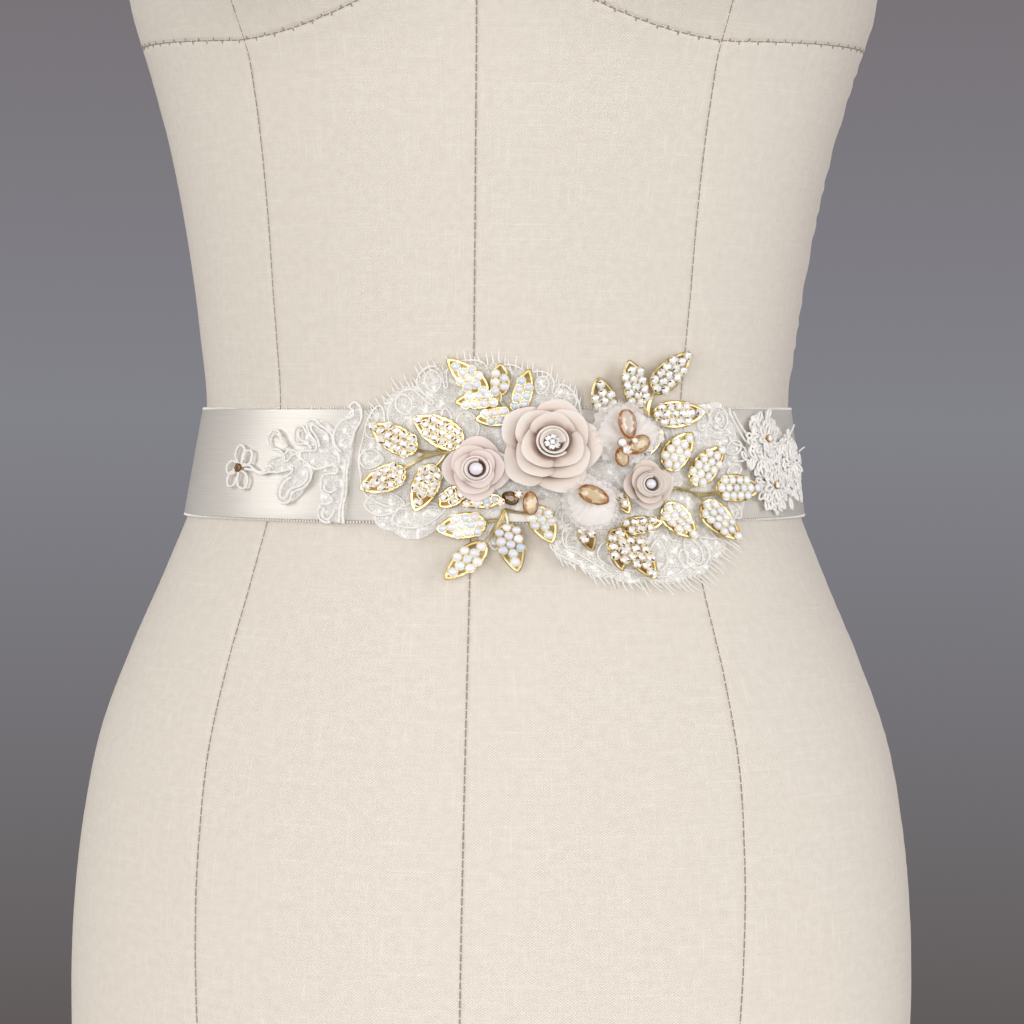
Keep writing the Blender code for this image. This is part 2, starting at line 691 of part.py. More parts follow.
def make_fringe(fringe):
    """A narrow strip along the lace, with a tapered thread grown from every second stretch of it."""
    points, outward = fringe_path(fringe)
    bm = bmesh.new()
    rings = []
    for point, way in zip(points, outward):
        corners = []
        for reach, height in ((0, 0), (0, FRINGE_THICK), (FRINGE_STRIP, FRINGE_THICK), (FRINGE_STRIP, 0)):
            flat = point + reach * way
            corners.append(Vector((flat.x, flat.y, LACE_UNDER + height)))
        rings.append(corners)
    sides = loft(bm, rings)
    outer = sides[2::4][::2]
    threads = bmesh.ops.extrude_discrete_faces(bm, faces=outer)["faces"]
    for number, face in enumerate(threads):
        middle = face.calc_center_median()
        way = outward[2 * number] + outward[2 * number + 1]
        lean = fringe.sway + THREAD_LEAN.amount * math.sin(THREAD_LEAN.pace * number)
        reach = fringe.length * (1.0 + THREAD_LENGTH.amount * math.sin(THREAD_LENGTH.pace * number))
        heading = Vector((way.x - lean * way.y, way.y + lean * way.x, 0.0)).normalized()
        for vert in face.verts:
            vert.co = middle + (vert.co - middle) * THREAD_TAPER + heading * reach
    add_laid(fringe.name, bm, "ivory_lace")


def lobe_body(lobe):
    """A long oval plate from the lobe's base to its tip."""
    bm = bmesh.new()
    ring = []
    for i in range(LOBE_SIDES):
        turn = 2 * math.pi * i / LOBE_SIDES
        ring.append((lobe.length * (1 + math.cos(turn)) / 2, lobe.width * math.sin(turn) / 2))
    slab(bm, ring, LACE_UNDER, LACE_TOP)
    bmesh.ops.transform(bm, matrix=placed(lobe.along, lobe.up, lobe.turn), verts=bm.verts)
    return bm


def make_applique(name, lobes):
    bm = united([lobe_body(lobe) for lobe in lobes])
    cut_for_bending(bm)
    add_laid(name, bm, "ivory_lace")


def flower_lobes(flower, petals):
    return [flower._replace(turn=flower.turn + 360.0 * i / petals) for i in range(petals)]


def make_blossom(blossom):
    """A raised flower: its petals rise from the middle and its hem is scalloped."""
    sides = SIDES_A_PETAL * blossom.petals
    under = LACE_TOP + SEAM

    def hem(row):
        points = circle(blossom.reach * row.share, under + row.height, sides)
        for i, point in enumerate(points):
            notch = 1 - abs(math.cos(math.pi * i * blossom.petals / sides))
            point.x *= 1 - BLOSSOM_PINCH * notch
            point.y *= 1 - BLOSSOM_PINCH * notch
        return points

    rings = [circle(BLOSSOM_FOOT.radius, under + BLOSSOM_FOOT.height, sides)]
    rings += [hem(row) for row in BLOSSOM_HEM]
    rings += [circle(row.radius, under + row.height, sides) for row in BLOSSOM_EYE]
    bm = bmesh.new()
    loft(bm, rings)
    bmesh.ops.transform(bm, matrix=placed(blossom.along, blossom.up, blossom.turn), verts=bm.verts)
    add_laid(blossom.name, bm, "ivory_lace")


def leaf_body(leaf, bed):
    """A cast leaf: a pointed plate with the raised bed that its stones sit in."""

    def edge(share, height):
        right = [Vector((leaf.length * row.share, -leaf.width / 2 * row.width * share)) for row in LEAF_SHAPE]
        left = [Vector((point.x, -point.y)) for point in reversed(right)]
        middle = Vector((leaf.length / 2, 0.0))
        flat = [middle + (point - middle) * share for point in right + left]
        return [Vector((p.x, p.y, leaf.under + leaf.rise * p.x / leaf.length + height)) for p in flat]

    bm = bmesh.new()
    plate = [edge(1.0, 0.0), edge(1.0, PLATE)]
    loft(bm, plate + [edge(BED_SHARE, PLATE + BED_CLEAR), edge(BED_SHARE, PLATE + bed)])
    bmesh.ops.transform(bm, matrix=placed(leaf.along, leaf.up, leaf.turn), verts=bm.verts)
    return bm


def stem_body(stem, number):
    """A round stem on the flat sash, from a straight curve with a bevel."""
    curve = bpy.data.curves.new("stem", "CURVE")
    curve.dimensions = "3D"
    spline = curve.splines.new("POLY")
    spline.points.add(1)
    middle = STEM_MIDDLE + STEM_STEP * number
    spline.points[0].co = (stem.along, stem.up, middle, 1.0)
    spline.points[1].co = (stem.to_along, stem.to_up, middle, 1.0)
    curve.bevel_depth = STEM_RADIUS
    curve.bevel_resolution = 1
    curve.use_fill_caps = True
    obj = bpy.data.objects.new("stem", curve)
    cutters.objects.link(obj)
    graph = bpy.context.evaluated_depsgraph_get()
    mesh = bpy.data.meshes.new_from_object(obj.evaluated_get(graph))
    bm = bmesh.new()
    bm.from_mesh(mesh)
    bmesh.ops.remove_doubles(bm, verts=bm.verts, dist=1e-4)
    bpy.data.objects.remove(obj)
    bpy.data.curves.remove(curve)
    bpy.data.meshes.remove(mesh)
    return bm


def make_spray(spray):
    bodies = [leaf_body(leaf, BED) for leaf in spray.leaves]
    bodies += [stem_body(stem, number) for number, stem in enumerate(spray.stems)]
    add_laid(spray.name, united(bodies), "gilt_metal")


def petal_body(rose, level, count, number):
    """One cupped petal: a sheet that runs from the rose's heart to its lip, given its thickness."""
    bm = bmesh.new()
    bmesh.ops.create_grid(bm, x_segments=PETAL_STEPS_ROUND, y_segments=PETAL_STEPS_UP, size=1.0)
    petals = ROUNDS[level]
    turn = math.radians(rose.turn + 360.0 * number / count + ROUND_TURN * level)
    spread = math.pi / count * PETAL_LAP
    for vert in bm.verts:
        across, rise = vert.co.x, (vert.co.y + 1) / 2
        droop = 1 - PETAL_DROOP * across**4 * rise
        reach = petals.base + (petals.lip - petals.base) * rise**LIP_FLARE * droop
        height = petals.base_height + (petals.lip_height - petals.base_height) * rise**LIP_CUP * droop
        angle = turn + spread * across
        reach += PETAL_SWIRL * across
        place = Vector((reach * math.cos(angle), reach * math.sin(angle), height))
        vert.co = place * rose.scale
    bmesh.ops.solidify(bm, geom=bm.faces[:], thickness=PETAL_THICK)
    for vert in bm.verts:
        vert.co.z = max(vert.co.z, -PETAL_THICK)
    bmesh.ops.translate(bm, vec=(rose.along, rose.up, ROSE_UNDER + PETAL_THICK), verts=bm.verts)
    return bm


def bud_body(rose):
    bm = bmesh.new()
    loft(bm, [circle(bud.radius * rose.scale, bud.height * rose.scale, BUD_SIDES) for bud in BUD])
    bmesh.ops.translate(bm, vec=(rose.along, rose.up, ROSE_UNDER), verts=bm.verts)
    return bm


def make_rose(rose):
    bodies = [bud_body(rose)]
    for level, count in enumerate(rose.petals):
        bodies += [petal_body(rose, level, count, number) for number in range(count)]
    add_laid(rose.name, united(bodies), "air_clay")


def make_organza(organza):
    """A thin petal with a waved edge, standing on a small gathered foot."""

    def edge(share, height):
        points = []
        for i in range(ORGANZA_SIDES):
            spot = 8 * i / ORGANZA_SIDES
            here, there = int(spot), (int(spot) + 1) % 8
            reach = organza.reaches[here] + (organza.reaches[there] - organza.reaches[here]) * (spot - here)
            turn = 2 * math.pi * i / ORGANZA_SIDES
            wave = ORGANZA_WAVE * share * (1 + math.sin(ORGANZA_WAVES * turn))
            across = share * reach
            points.append(Vector((across * math.cos(turn), across * math.sin(turn), height + wave)))
        return points

    rings = [circle(row.radius, row.height, ORGANZA_SIDES) for row in (ORGANZA_FOOT, ORGANZA_NECK)]
    rings += [edge(share, ORGANZA_NECK.height) for share in (ORGANZA_FOLD, 1.0)]
    rings += [edge(share, ORGANZA_EYE.height) for share in (1.0, ORGANZA_FOLD)]
    rings.append(circle(ORGANZA_EYE.radius, ORGANZA_EYE.height, ORGANZA_SIDES))
    bm = bmesh.new()
    loft(bm, rings)
    bmesh.ops.translate(bm, vec=(organza.along, organza.up, 0.0), verts=bm.verts)
    add_laid(organza.name, bm, "organza")


def make_drop(drop):
    bm = bmesh.new()
    rings = []
    for row in DROP_SHAPE:
        ring = circle(drop.width / 2 * row.width, 0.0, DROP_SIDES, DROP_DEPTH)
        rings.append([Vector((drop.length * row.share, p.x, p.y + drop.height)) for p in ring])
    loft(bm, rings)
    bmesh.ops.transform(bm, matrix=placed(drop.along, drop.up, drop.turn), verts=bm.verts)
    add_laid(drop.name, bm, "glass")


for old in list(bpy.data.objects):
    bpy.data.objects.remove(old, do_unlink=True)
parts = collection_named("bridal sash on a dress form")
cutters = collection_named("cutters", hidden=True)
sash_middle = bpy.data.objects.new("sash_middle", None)
sash_middle.location = (0.0, 0.0, SASH_HEIGHT)
parts.objects.link(sash_middle)

make_disc("form_base", BASE_HALF_WIDTH, BASE_HALF_DEPTH, BASE_THICK, 0.0, "painted_wood")
make_form()
neck = LEVELS[-1]
make_disc(
    "form_neck_cap",
    neck.half_width - CAP_INSET,
    neck.front - CAP_INSET,
    CAP_THICK,
    SASH_HEIGHT / MM + neck.height + SEAM,
    "painted_wood",
)
make_ribbon()
make_lace("lace_upper", UPPER_LACE)
make_lace("lace_lower", LOWER_LACE)
make_applique("lace_left", flower_lobes(FLOWER_LEFT, 6) + LEFT_LOBES)
make_applique("lace_right", RIGHT_LOBES)
for each_fringe in FRINGES:
    make_fringe(each_fringe)
for each_blossom in BLOSSOMS:
    make_blossom(each_blossom)
for each_spray in SPRAYS:
    make_spray(each_spray)
for leaf_name, single in SINGLE_LEAVES.items():
    add_laid(leaf_name, leaf_body(single, SINGLE_BED), "gilt_metal")
for each_rose in ROSES:
    make_rose(each_rose)
for each_organza in ORGANZA:
    make_organza(each_organza)
for each_drop in DROPS:
    make_drop(each_drop)
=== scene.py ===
import bpy
import bmesh
import math
import random
import numpy as np
from collections import namedtuple
from mathutils import Matrix, Vector


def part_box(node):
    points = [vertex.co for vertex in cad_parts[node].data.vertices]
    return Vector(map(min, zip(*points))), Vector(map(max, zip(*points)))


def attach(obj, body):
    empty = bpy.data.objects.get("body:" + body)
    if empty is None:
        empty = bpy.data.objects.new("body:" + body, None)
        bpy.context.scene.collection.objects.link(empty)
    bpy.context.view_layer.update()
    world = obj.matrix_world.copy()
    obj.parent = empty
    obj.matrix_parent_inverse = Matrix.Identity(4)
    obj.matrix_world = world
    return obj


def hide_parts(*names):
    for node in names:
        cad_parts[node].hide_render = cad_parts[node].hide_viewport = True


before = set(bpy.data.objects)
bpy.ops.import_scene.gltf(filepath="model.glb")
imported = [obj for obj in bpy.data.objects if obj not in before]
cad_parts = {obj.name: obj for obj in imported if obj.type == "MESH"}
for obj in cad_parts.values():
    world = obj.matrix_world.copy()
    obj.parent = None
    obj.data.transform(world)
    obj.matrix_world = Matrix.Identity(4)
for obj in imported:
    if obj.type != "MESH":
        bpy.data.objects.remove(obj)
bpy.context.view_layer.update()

# Patterns are drawn flat in millimetres: x along the sash from the centre front, y up from its
# middle line, z out from the form. lay() bends them round the form, in metres.
mm = 0.001

formShape = {
    "waistToBoard": 312.0,
    "levels": [  # height above the waist, half width, depth in front, depth behind
        (-312, 148, 104, 122), (-270, 152.5, 108, 128), (-220, 156, 110, 131), (-170, 156, 109, 129),
        (-130, 152, 106, 122), (-100, 146, 103, 114), (-70, 135, 99, 105), (-40, 122, 95, 96),
        (-12, 111.3, 91.5, 90), (17, 107.5, 90, 87.5), (45, 110.2, 90.5, 88), (80, 115.3, 92, 91),
        (115, 122.5, 94, 96), (140, 129.5, 95, 100), (165, 137, 97, 103), (200, 140, 98, 106),
        (240, 142, 95, 108), (280, 149, 87, 105), (310, 160, 76, 97), (330, 162, 66, 89),
        (345, 148, 58, 83), (358, 118, 53, 78), (370, 84, 50, 72), (382, 64, 49, 66),
        (400, 55, 48, 58), (430, 52, 50, 52),
    ],
    "bust": {"apart": 80.0, "height": 196.0, "wide": 50.0, "below": 34.0, "above": 62.0, "out": 36.0},
}
ribbonShape = {"width": 40.0, "tilt": 1.4, "top": 1.5, "thick": 0.5, "lap": 30.0, "ramp": 18.0}

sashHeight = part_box("form_base")[1].z / mm + formShape["waistToBoard"]
levelHeights = np.array([row[0] for row in formShape["levels"]], float)
levelSizes = np.array([row[1:] for row in formShape["levels"]], float)
levelSlopes = np.gradient(levelSizes, levelHeights, axis=0)


def sizesAt(height):
    # the level's sizes at any height, along smooth curves from level to level
    h = np.clip(height, levelHeights[0], levelHeights[-1])
    row = np.clip(np.searchsorted(levelHeights, h) - 1, 0, len(levelHeights) - 2)
    step = (levelHeights[row + 1] - levelHeights[row])[:, None]
    u = (h - levelHeights[row])[:, None] / step
    ends = levelSizes[row] * (2 * u**3 - 3 * u**2 + 1) + levelSizes[row + 1] * (3 * u**2 - 2 * u**3)
    return ends + step * (levelSlopes[row] * (u**3 - 2 * u**2 + u) + levelSlopes[row + 1] * (u**3 - u**2))


def formPoint(angle, height):
    bust = formShape["bust"]
    half, front, back = sizesAt(height).T
    ahead = np.cos(angle)
    x = half * np.sin(angle)
    y = -ahead * np.where(ahead > 0, front, back)
    fall = np.where(height < bust["height"], bust["below"], bust["above"])
    rise = np.exp(-(((height - bust["height"]) / fall) ** 2))
    cup = np.exp(-(((np.abs(x) - bust["apart"]) / bust["wide"]) ** 2)) * np.clip(2.2 * ahead, 0, 1)
    return np.stack([x, y - bust["out"] * rise * cup, height], axis=1)


ringAngles = np.linspace(-math.pi, math.pi, 721)
ring = formPoint(ringAngles, np.zeros_like(ringAngles))
ringLengths = np.append(0.0, np.cumsum(np.linalg.norm(np.diff(ring, axis=0), axis=1)))
waistLength = ringLengths[-1]
ringLengths = ringLengths - waistLength / 2


def angleAt(along):
    turns = np.floor((along + waistLength / 2) / waistLength)
    return np.interp(along - turns * waistLength, ringLengths, ringAngles) + 2 * math.pi * turns


def formBed(along, up):
    return formPoint(angleAt(along), up)


def ribbonTilt(along):
    # the sash sits a little higher on one side
    return ribbonShape["tilt"] * np.sin(angleAt(along))


def clothBed(along, up):
    # under the ribbon the cloth runs straight from its lower edge to its upper edge
    angle = angleAt(along)
    width = ribbonShape["width"]
    low = ribbonTilt(along) - width / 2
    share = (up - low) / width
    held = np.clip(share, 0, 1)[:, None]
    straight = (1 - held) * formPoint(angle, low) + held * formPoint(angle, low + width)
    return np.where(((share > 0) & (share < 1))[:, None], straight, formPoint(angle, up))


def lay(flat, bed=clothBed, reach=2.0):
    along, up, out = flat.T
    beside = bed(along + reach, up) - bed(along - reach, up)
    above = bed(along, up + reach) - bed(along, up - reach)
    normal = np.cross(beside, above)
    normal /= np.linalg.norm(normal, axis=1)[:, None]
    place = bed(along, up) + out[:, None] * normal
    place[:, 2] += sashHeight
    return place * mm


def coordsOf(mesh):
    coords = np.empty(len(mesh.vertices) * 3, np.float32)
    mesh.vertices.foreach_get("co", coords)
    return coords.reshape(-1, 3).astype(float)


def setCoords(mesh, coords):
    mesh.vertices.foreach_set("co", coords.astype(np.float32).ravel())


def keepFlat(mesh, flat):
    # the flat drawing, in millimetres, stays on the piece as its UV map for weaves and nets
    corners = np.empty(len(mesh.loops), np.int32)
    mesh.loops.foreach_get("vertex_index", corners)
    layer = mesh.uv_layers.new(name="flat")
    layer.uv.foreach_set("vector", flat[corners][:, :2].astype(np.float32).ravel())


def meshOf(bm, outward=True):
    # the finished mesh, with its faces turned outward
    if outward:
        bmesh.ops.recalc_face_normals(bm, faces=bm.faces)
    mesh = bpy.data.meshes.new("made")
    bm.to_mesh(mesh)
    bm.free()
    return mesh


def addObject(name, data):
    made = bpy.data.objects.new(name, data)
    bpy.context.scene.collection.objects.link(made)
    return made


def addPiece(name, source, material, replaces=(), bed=clothBed, sharp=180.0, outward=True):
    # source is a bmesh or a mesh in flat millimetres
    mesh = meshOf(source, outward) if isinstance(source, bmesh.types.BMesh) else source
    mesh.name = name
    flat = coordsOf(mesh)
    keepFlat(mesh, flat)
    setCoords(mesh, lay(flat, bed))
    mesh.shade_smooth()
    mesh.set_sharp_from_angle(angle=math.radians(sharp))
    mesh.update()
    mesh.materials.append(material)
    piece = addObject(name, mesh)
    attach(piece, "root")
    if replaces:
        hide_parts(*replaces)
    return piece


def tubes(lines, radius, sides=6, closed=False):
    # lines are arrays of flat points, with an optional fourth column that scales the radius
    curve = bpy.data.curves.new("tubes", "CURVE")
    curve.dimensions = "3D"
    for line in lines:
        line = np.asarray(line, float)
        spline = curve.splines.new("POLY")
        spline.points.add(len(line) - 1)
        spline.points.foreach_set("co", np.column_stack([line[:, :3], np.ones(len(line))]).ravel())
        if line.shape[1] > 3:
            spline.points.foreach_set("radius", line[:, 3].copy())
        spline.use_cyclic_u = closed
    curve.bevel_depth = radius
    curve.bevel_resolution = (sides - 4) // 2
    curve.use_fill_caps = not closed
    bent = addObject("tubes", curve)
    graph = bpy.context.evaluated_depsgraph_get()
    mesh = bpy.data.meshes.new_from_object(bent.evaluated_get(graph))
    bpy.data.objects.remove(bent)
    bpy.data.curves.remove(curve)
    bm = bmesh.new()
    bm.from_mesh(mesh)
    bpy.data.meshes.remove(mesh)
    bmesh.ops.remove_doubles(bm, verts=bm.verts, dist=1e-4)
    return bm


def lengthsAlong(line):
    return np.append(0.0, np.cumsum(np.linalg.norm(np.diff(line, axis=0), axis=1)))


def pointsAlong(line, spots):
    # the line's points at the given lengths from its start
    lengths = lengthsAlong(line)
    return np.stack([np.interp(spots, lengths, line[:, axis]) for axis in range(3)], axis=1)


def smoothLine(points, step=0.7, closed=False):
    # a Catmull-Rom line through the points, with a point every step
    points = np.asarray(points, float)
    if points.shape[1] == 2:
        points = np.column_stack([points, np.zeros(len(points))])
    if closed:
        around = np.vstack([points[-1:], points, points[:2]])
    else:
        around = np.vstack([2 * points[:1] - points[1:2], points, 2 * points[-1:] - points[-2:-1]])
    u = np.linspace(0, 1, 12, endpoint=False)[:, None]
    fine = []
    for a, b, c, d in zip(around, around[1:], around[2:], around[3:]):
        bend = (2 * a - 5 * b + 4 * c - d) * u**2 + (3 * b - a - 3 * c + d) * u**3
        fine.append(0.5 * (2 * b + (c - a) * u + bend))
    fine = np.vstack(fine + [points[:1] if closed else points[-1:]])
    whole = lengthsAlong(fine)[-1]
    count = max(int(round(whole / step)), 3)
    line = pointsAlong(fine, np.linspace(0, whole, count + 1))
    return line[:-1] if closed else line


def turned(points, along, up, turn=0.0):
    # flat points turned about the origin, then moved to their place
    points = np.asarray(points, float)
    c, s = math.cos(math.radians(turn)), math.sin(math.radians(turn))
    moved = points.copy()
    moved[:, 0] = c * points[:, 0] - s * points[:, 1] + along
    moved[:, 1] = s * points[:, 0] + c * points[:, 1] + up
    return moved


def ringSpots(count, radius, start=0.0):
    angles = [math.radians(start + 360 * number / count) for number in range(count)]
    return [(radius * math.cos(angle), radius * math.sin(angle)) for angle in angles]


def placing(along, up, height=0.0, turn=0.0):
    return Matrix.Translation((along, up, height)) @ Matrix.Rotation(math.radians(turn), 4, "Z")


def sized(across, along, high):
    return Matrix.Diagonal((across, along, high, 1.0))


def stamp(bm, template, matrix):
    # adds one more copy of a small mesh
    before = len(bm.verts)
    bm.from_mesh(template)
    bm.verts.ensure_lookup_table()
    bmesh.ops.transform(bm, matrix=matrix, verts=bm.verts[before:])


def roundBead(radius):
    bm = bmesh.new()
    bmesh.ops.create_icosphere(bm, subdivisions=1, radius=radius)
    return meshOf(bm)


def facetedMesh():
    bm = bmesh.new()
    # a layer for each facet's painted reflection
    bm.faces.layers.float.new("facet")
    return bm


# Materials


def linear(hexColour):
    parts = [int(hexColour[i : i + 2], 16) / 255 for i in (1, 3, 5)]
    return [*(c / 12.92 if c <= 0.04045 else ((c + 0.055) / 1.055) ** 2.4 for c in parts), 1.0]


def addNode(tree, kind, inputs=None, **settings):
    node = tree.nodes.new("ShaderNode" + kind)
    for key, value in settings.items():
        setattr(node, key, value)
    for key, value in (inputs or {}).items():
        if isinstance(value, bpy.types.NodeSocket):
            tree.links.new(value, node.inputs[key])
        else:
            node.inputs[key].default_value = value
    return node


def newMaterial(name, **sockets):
    material = bpy.data.materials.new(name)
    material.use_nodes = True
    tree = material.node_tree
    for key, value in sockets.items():
        tree.nodes["Principled BSDF"].inputs[key.replace("_", " ")].default_value = value
    return material, tree


def setRamp(node, stops):
    ramp = node.color_ramp
    while len(ramp.elements) < len(stops):
        ramp.elements.new(0.5)
    for element, (spot, colour) in zip(ramp.elements, stops):
        element.position = spot
        element.color = linear(colour)
    return node.outputs["Color"]


def finishMaterial(material, tone, stops, height=None, strength=0.5, depth=0.1, alpha=None):
    # the tone picks a colour between the stops, and the height stands up by a depth in millimetres
    tree = material.node_tree
    shader = tree.nodes["Principled BSDF"]
    tree.links.new(setRamp(addNode(tree, "ValToRGB", {"Fac": tone}), stops), shader.inputs["Base Color"])
    if height:
        bump = addNode(tree, "Bump", {"Height": height, "Strength": strength, "Distance": depth * mm})
        tree.links.new(bump.outputs["Normal"], shader.inputs["Normal"])
    if alpha:
        tree.links.new(alpha, shader.inputs["Alpha"])
    return material


def waveScale(pitch):
    # a Wave texture of this scale repeats every pitch units
    return math.pi / 10 / pitch


def wovenCloth(name, colours, pitch, depth, slub, roughness, sheen):
    # plain weave on the flat drawing, with slubs that run both ways
    material, tree = newMaterial(name, Roughness=roughness, Sheen_Weight=sheen, IOR=1.5)
    flat = addNode(tree, "UVMap", uv_map="flat").outputs["UV"]
    threads = {"Vector": flat, "Scale": waveScale(pitch * 2)}
    warp, weft = (addNode(tree, "TexWave", threads, bands_direction=way).outputs["Fac"] for way in "XY")
    over = addNode(tree, "Math", {0: warp, 1: weft}, operation="SUBTRACT").outputs[0]
    cell = addNode(tree, "Math", {0: over}, operation="ABSOLUTE").outputs[0]
    slubs = []
    for stretch in ((0.035, 1.6, 1.0), (1.7, 0.06, 1.0)):
        longer = addNode(tree, "Mapping", {"Vector": flat, "Scale": stretch})
        grain = addNode(tree, "TexNoise", {"Vector": longer.outputs[0], "Scale": 1.0, "Detail": 2.0})
        thick = {"Value": grain.outputs["Fac"], "From Min": 0.56, "From Max": 0.82}
        slubs.append(addNode(tree, "MapRange", thick).outputs[0])
    streaks = addNode(tree, "Math", {0: slubs[0], 1: slubs[1]}, operation="MAXIMUM").outputs[0]
    wandering = addNode(tree, "TexNoise", {"Vector": flat, "Scale": 0.35, "Detail": 3.0}).outputs["Fac"]
    shade = addNode(tree, "Math", {0: cell, 1: 0.55}, operation="MULTIPLY").outputs[0]
    lift = addNode(tree, "Math", {0: streaks, 1: slub, 2: shade}, operation="MULTIPLY_ADD").outputs[0]
    tone = addNode(tree, "Math", {0: wandering, 1: 0.4, 2: lift}, operation="MULTIPLY_ADD").outputs[0]
    stops = [(0.1, colours[0]), (0.9, colours[1])]
    return finishMaterial(material, tone, stops, lift, 0.5, depth)


def grainedMaterial(name, colours, scale, strength, depth, detail=3.0, stretch=None, **sockets):
    # one fine grain sets both the tone and the relief, and stretch draws it out one way
    material, tree = newMaterial(name, IOR=1.5, **sockets)
    place = addNode(tree, "TexCoord").outputs["Object"]
    if stretch:
        place = addNode(tree, "Mapping", {"Vector": place, "Scale": stretch}).outputs[0]
    grain = addNode(tree, "TexNoise", {"Vector": place, "Scale": scale, "Detail": detail}).outputs["Fac"]
    return finishMaterial(material, grain, [(0.3, colours[0]), (0.7, colours[1])], grain, strength, depth)


# linen and cotton cover, plain woven and stretched: matt, with slubs and threads 0.45 mm apart
linenCover = wovenCloth("linenCottonCover", ("#d3cabd", "#f2ece1"), 0.45, 0.12, 0.24, 0.9, 0.08)

# polyester satin, woven with long floats: a soft broad shine, and hardly any grain
satin, tree = newMaterial(
    "polyesterSatin", Roughness=0.4, IOR=1.5, Metallic=0.25, Coat_Weight=0.3, Coat_Roughness=0.45
)
flat = addNode(tree, "UVMap", uv_map="flat").outputs["UV"]
floats = addNode(tree, "Mapping", {"Vector": flat, "Scale": (0.05, 2.4, 1.0)}).outputs[0]
grain = addNode(tree, "TexNoise", {"Vector": floats, "Scale": 1.0, "Detail": 2.0}).outputs["Fac"]
finishMaterial(satin, grain, [(0.3, "#d8d3ca"), (0.7, "#e3ded6")], grain, 0.15, 0.03)

# twisted cotton cord: matt white, with fine fibres
laceCord = grainedMaterial(
    "cottonLaceCord", ("#f3efe7", "#fefdfb"), 3500.0, 0.6, 0.12, Roughness=0.85, Sheen_Weight=0.3
)

# fine nylon net: open hexagonal holes, with clumps of thread here and there, drawn by its alpha
laceNet, tree = newMaterial("nylonLaceNet", Roughness=0.7, Sheen_Weight=0.2, IOR=1.5)
flat = addNode(tree, "UVMap", uv_map="flat").outputs["UV"]
cells = {"Vector": flat, "Scale": 2.0, "Randomness": 0.5}
holes = addNode(tree, "TexVoronoi", cells, feature="DISTANCE_TO_EDGE")
clumps = addNode(tree, "TexNoise", {"Vector": flat, "Scale": 0.4, "Detail": 3.0}).outputs["Fac"]
netThread = {"From Min": 0.1, "From Max": 0.26, "To Min": 0.85, "To Max": 0.38}
thread = addNode(tree, "MapRange", {"Value": holes.outputs["Distance"], **netThread})
cloud = addNode(tree, "MapRange", {"Value": clumps, "From Min": 0.4, "From Max": 0.62})
netCover = addNode(tree, "Math", {0: thread.outputs[0], 1: cloud.outputs[0]}, operation="MAXIMUM").outputs[0]
finishMaterial(laceNet, clumps, [(0.35, "#f4f1ea"), (0.65, "#fdfcf9")], netCover, 0.2, 0.08, alpha=netCover)

# seam thread, sunk between the panels: grey-brown and matt
seamThread = grainedMaterial(
    "polyesterSeamThread", ("#8f8373", "#a89b8a"), 3000.0, 0.6, 0.05, Roughness=0.8, Sheen_Weight=0.1
)

# rayon edge loops of the ribbon: white, and shinier than cotton
picotThread = grainedMaterial(
    "rayonPicotThread", ("#eae7e2", "#fdfcfa"), 3000.0, 0.6, 0.05, Roughness=0.5, Sheen_Weight=0.2
)

# cream satin paint on wood, brushed on
paint = grainedMaterial(
    "creamSatinPaint", ("#d3c8b8", "#e4dccf"), 60.0, 0.25, 0.2, detail=4.0, stretch=(1.0, 14.0, 14.0),
    Roughness=0.42, Coat_Weight=0.15,
)


def castMetal(name, dark, bright, roughness):
    # thin gold plate on a cast alloy: bright on the high places, browner in the pits
    material, tree = newMaterial(name, Metallic=1.0, Roughness=roughness)
    place = addNode(tree, "TexCoord").outputs["Object"]
    grain = addNode(tree, "TexNoise", {"Vector": place, "Scale": 900.0, "Detail": 3.0}).outputs["Fac"]
    wear = addNode(tree, "TexNoise", {"Vector": place, "Scale": 220.0, "Detail": 1.0}).outputs["Fac"]
    return finishMaterial(material, wear, [(0.35, dark), (0.62, bright)], grain, 0.5, 0.12)


gold = castMetal("goldPlatedAlloy", "#cdb272", "#f5e8bc", 0.36)
oldGold = castMetal("goldPlatedFoil", "#9a6d38", "#e0b878", 0.2)

# painted shade: the plate between the stones is coloured dark, and shows as thin brown gaps
shadeBeds = {
    "clear": castMetal("plateInPaintedShade", "#6a5a46", "#8d7c62", 0.45),
    "champagne": castMetal("brownPlateInPaintedShade", "#6b5338", "#98794e", 0.45),
    "blue": castMetal("shadedPlate", "#75664a", "#a8956a", 0.45),
    "milk": castMetal("shadedPalePlate", "#766a4e", "#a4946c", 0.45),
}


def stone(name, stops, facets=0.0, **sockets):
    # each stone takes its own tint, and each facet of a cut one its own painted reflection
    material, tree = newMaterial(name, **sockets)
    each = addNode(tree, "NewGeometry").outputs["Random Per Island"]
    facet = addNode(tree, "Attribute", attribute_name="facet").outputs["Fac"]
    tint = addNode(tree, "Math", {0: each, 1: 1 - facets}, operation="MULTIPLY")
    flash = addNode(tree, "Math", {0: facet, 1: facets, 2: tint.outputs[0]}, operation="MULTIPLY_ADD")
    return finishMaterial(material, flash.outputs[0], stops)


# foiled lead crystal, machine cut: the foil makes a mirror of each facet, and each facet's reflection is
# painted into its colour, white, grey or dark brown
foiled = {"facets": 0.9, "Metallic": 0.15, "Roughness": 0.08, "IOR": 1.6}
clearStops = [(0.0, "#ffffff"), (0.58, "#fbfaf8"), (0.7, "#b5afa9"), (0.88, "#4f4843")]
clearCrystal = stone("foiledCrystal", clearStops, **foiled)
champagneStops = [(0.0, "#fffdf9"), (0.54, "#f9f2e9"), (0.66, "#b0967a"), (0.82, "#4a372a")]
champagneCrystal = stone("foiledChampagneCrystal", champagneStops, **foiled)

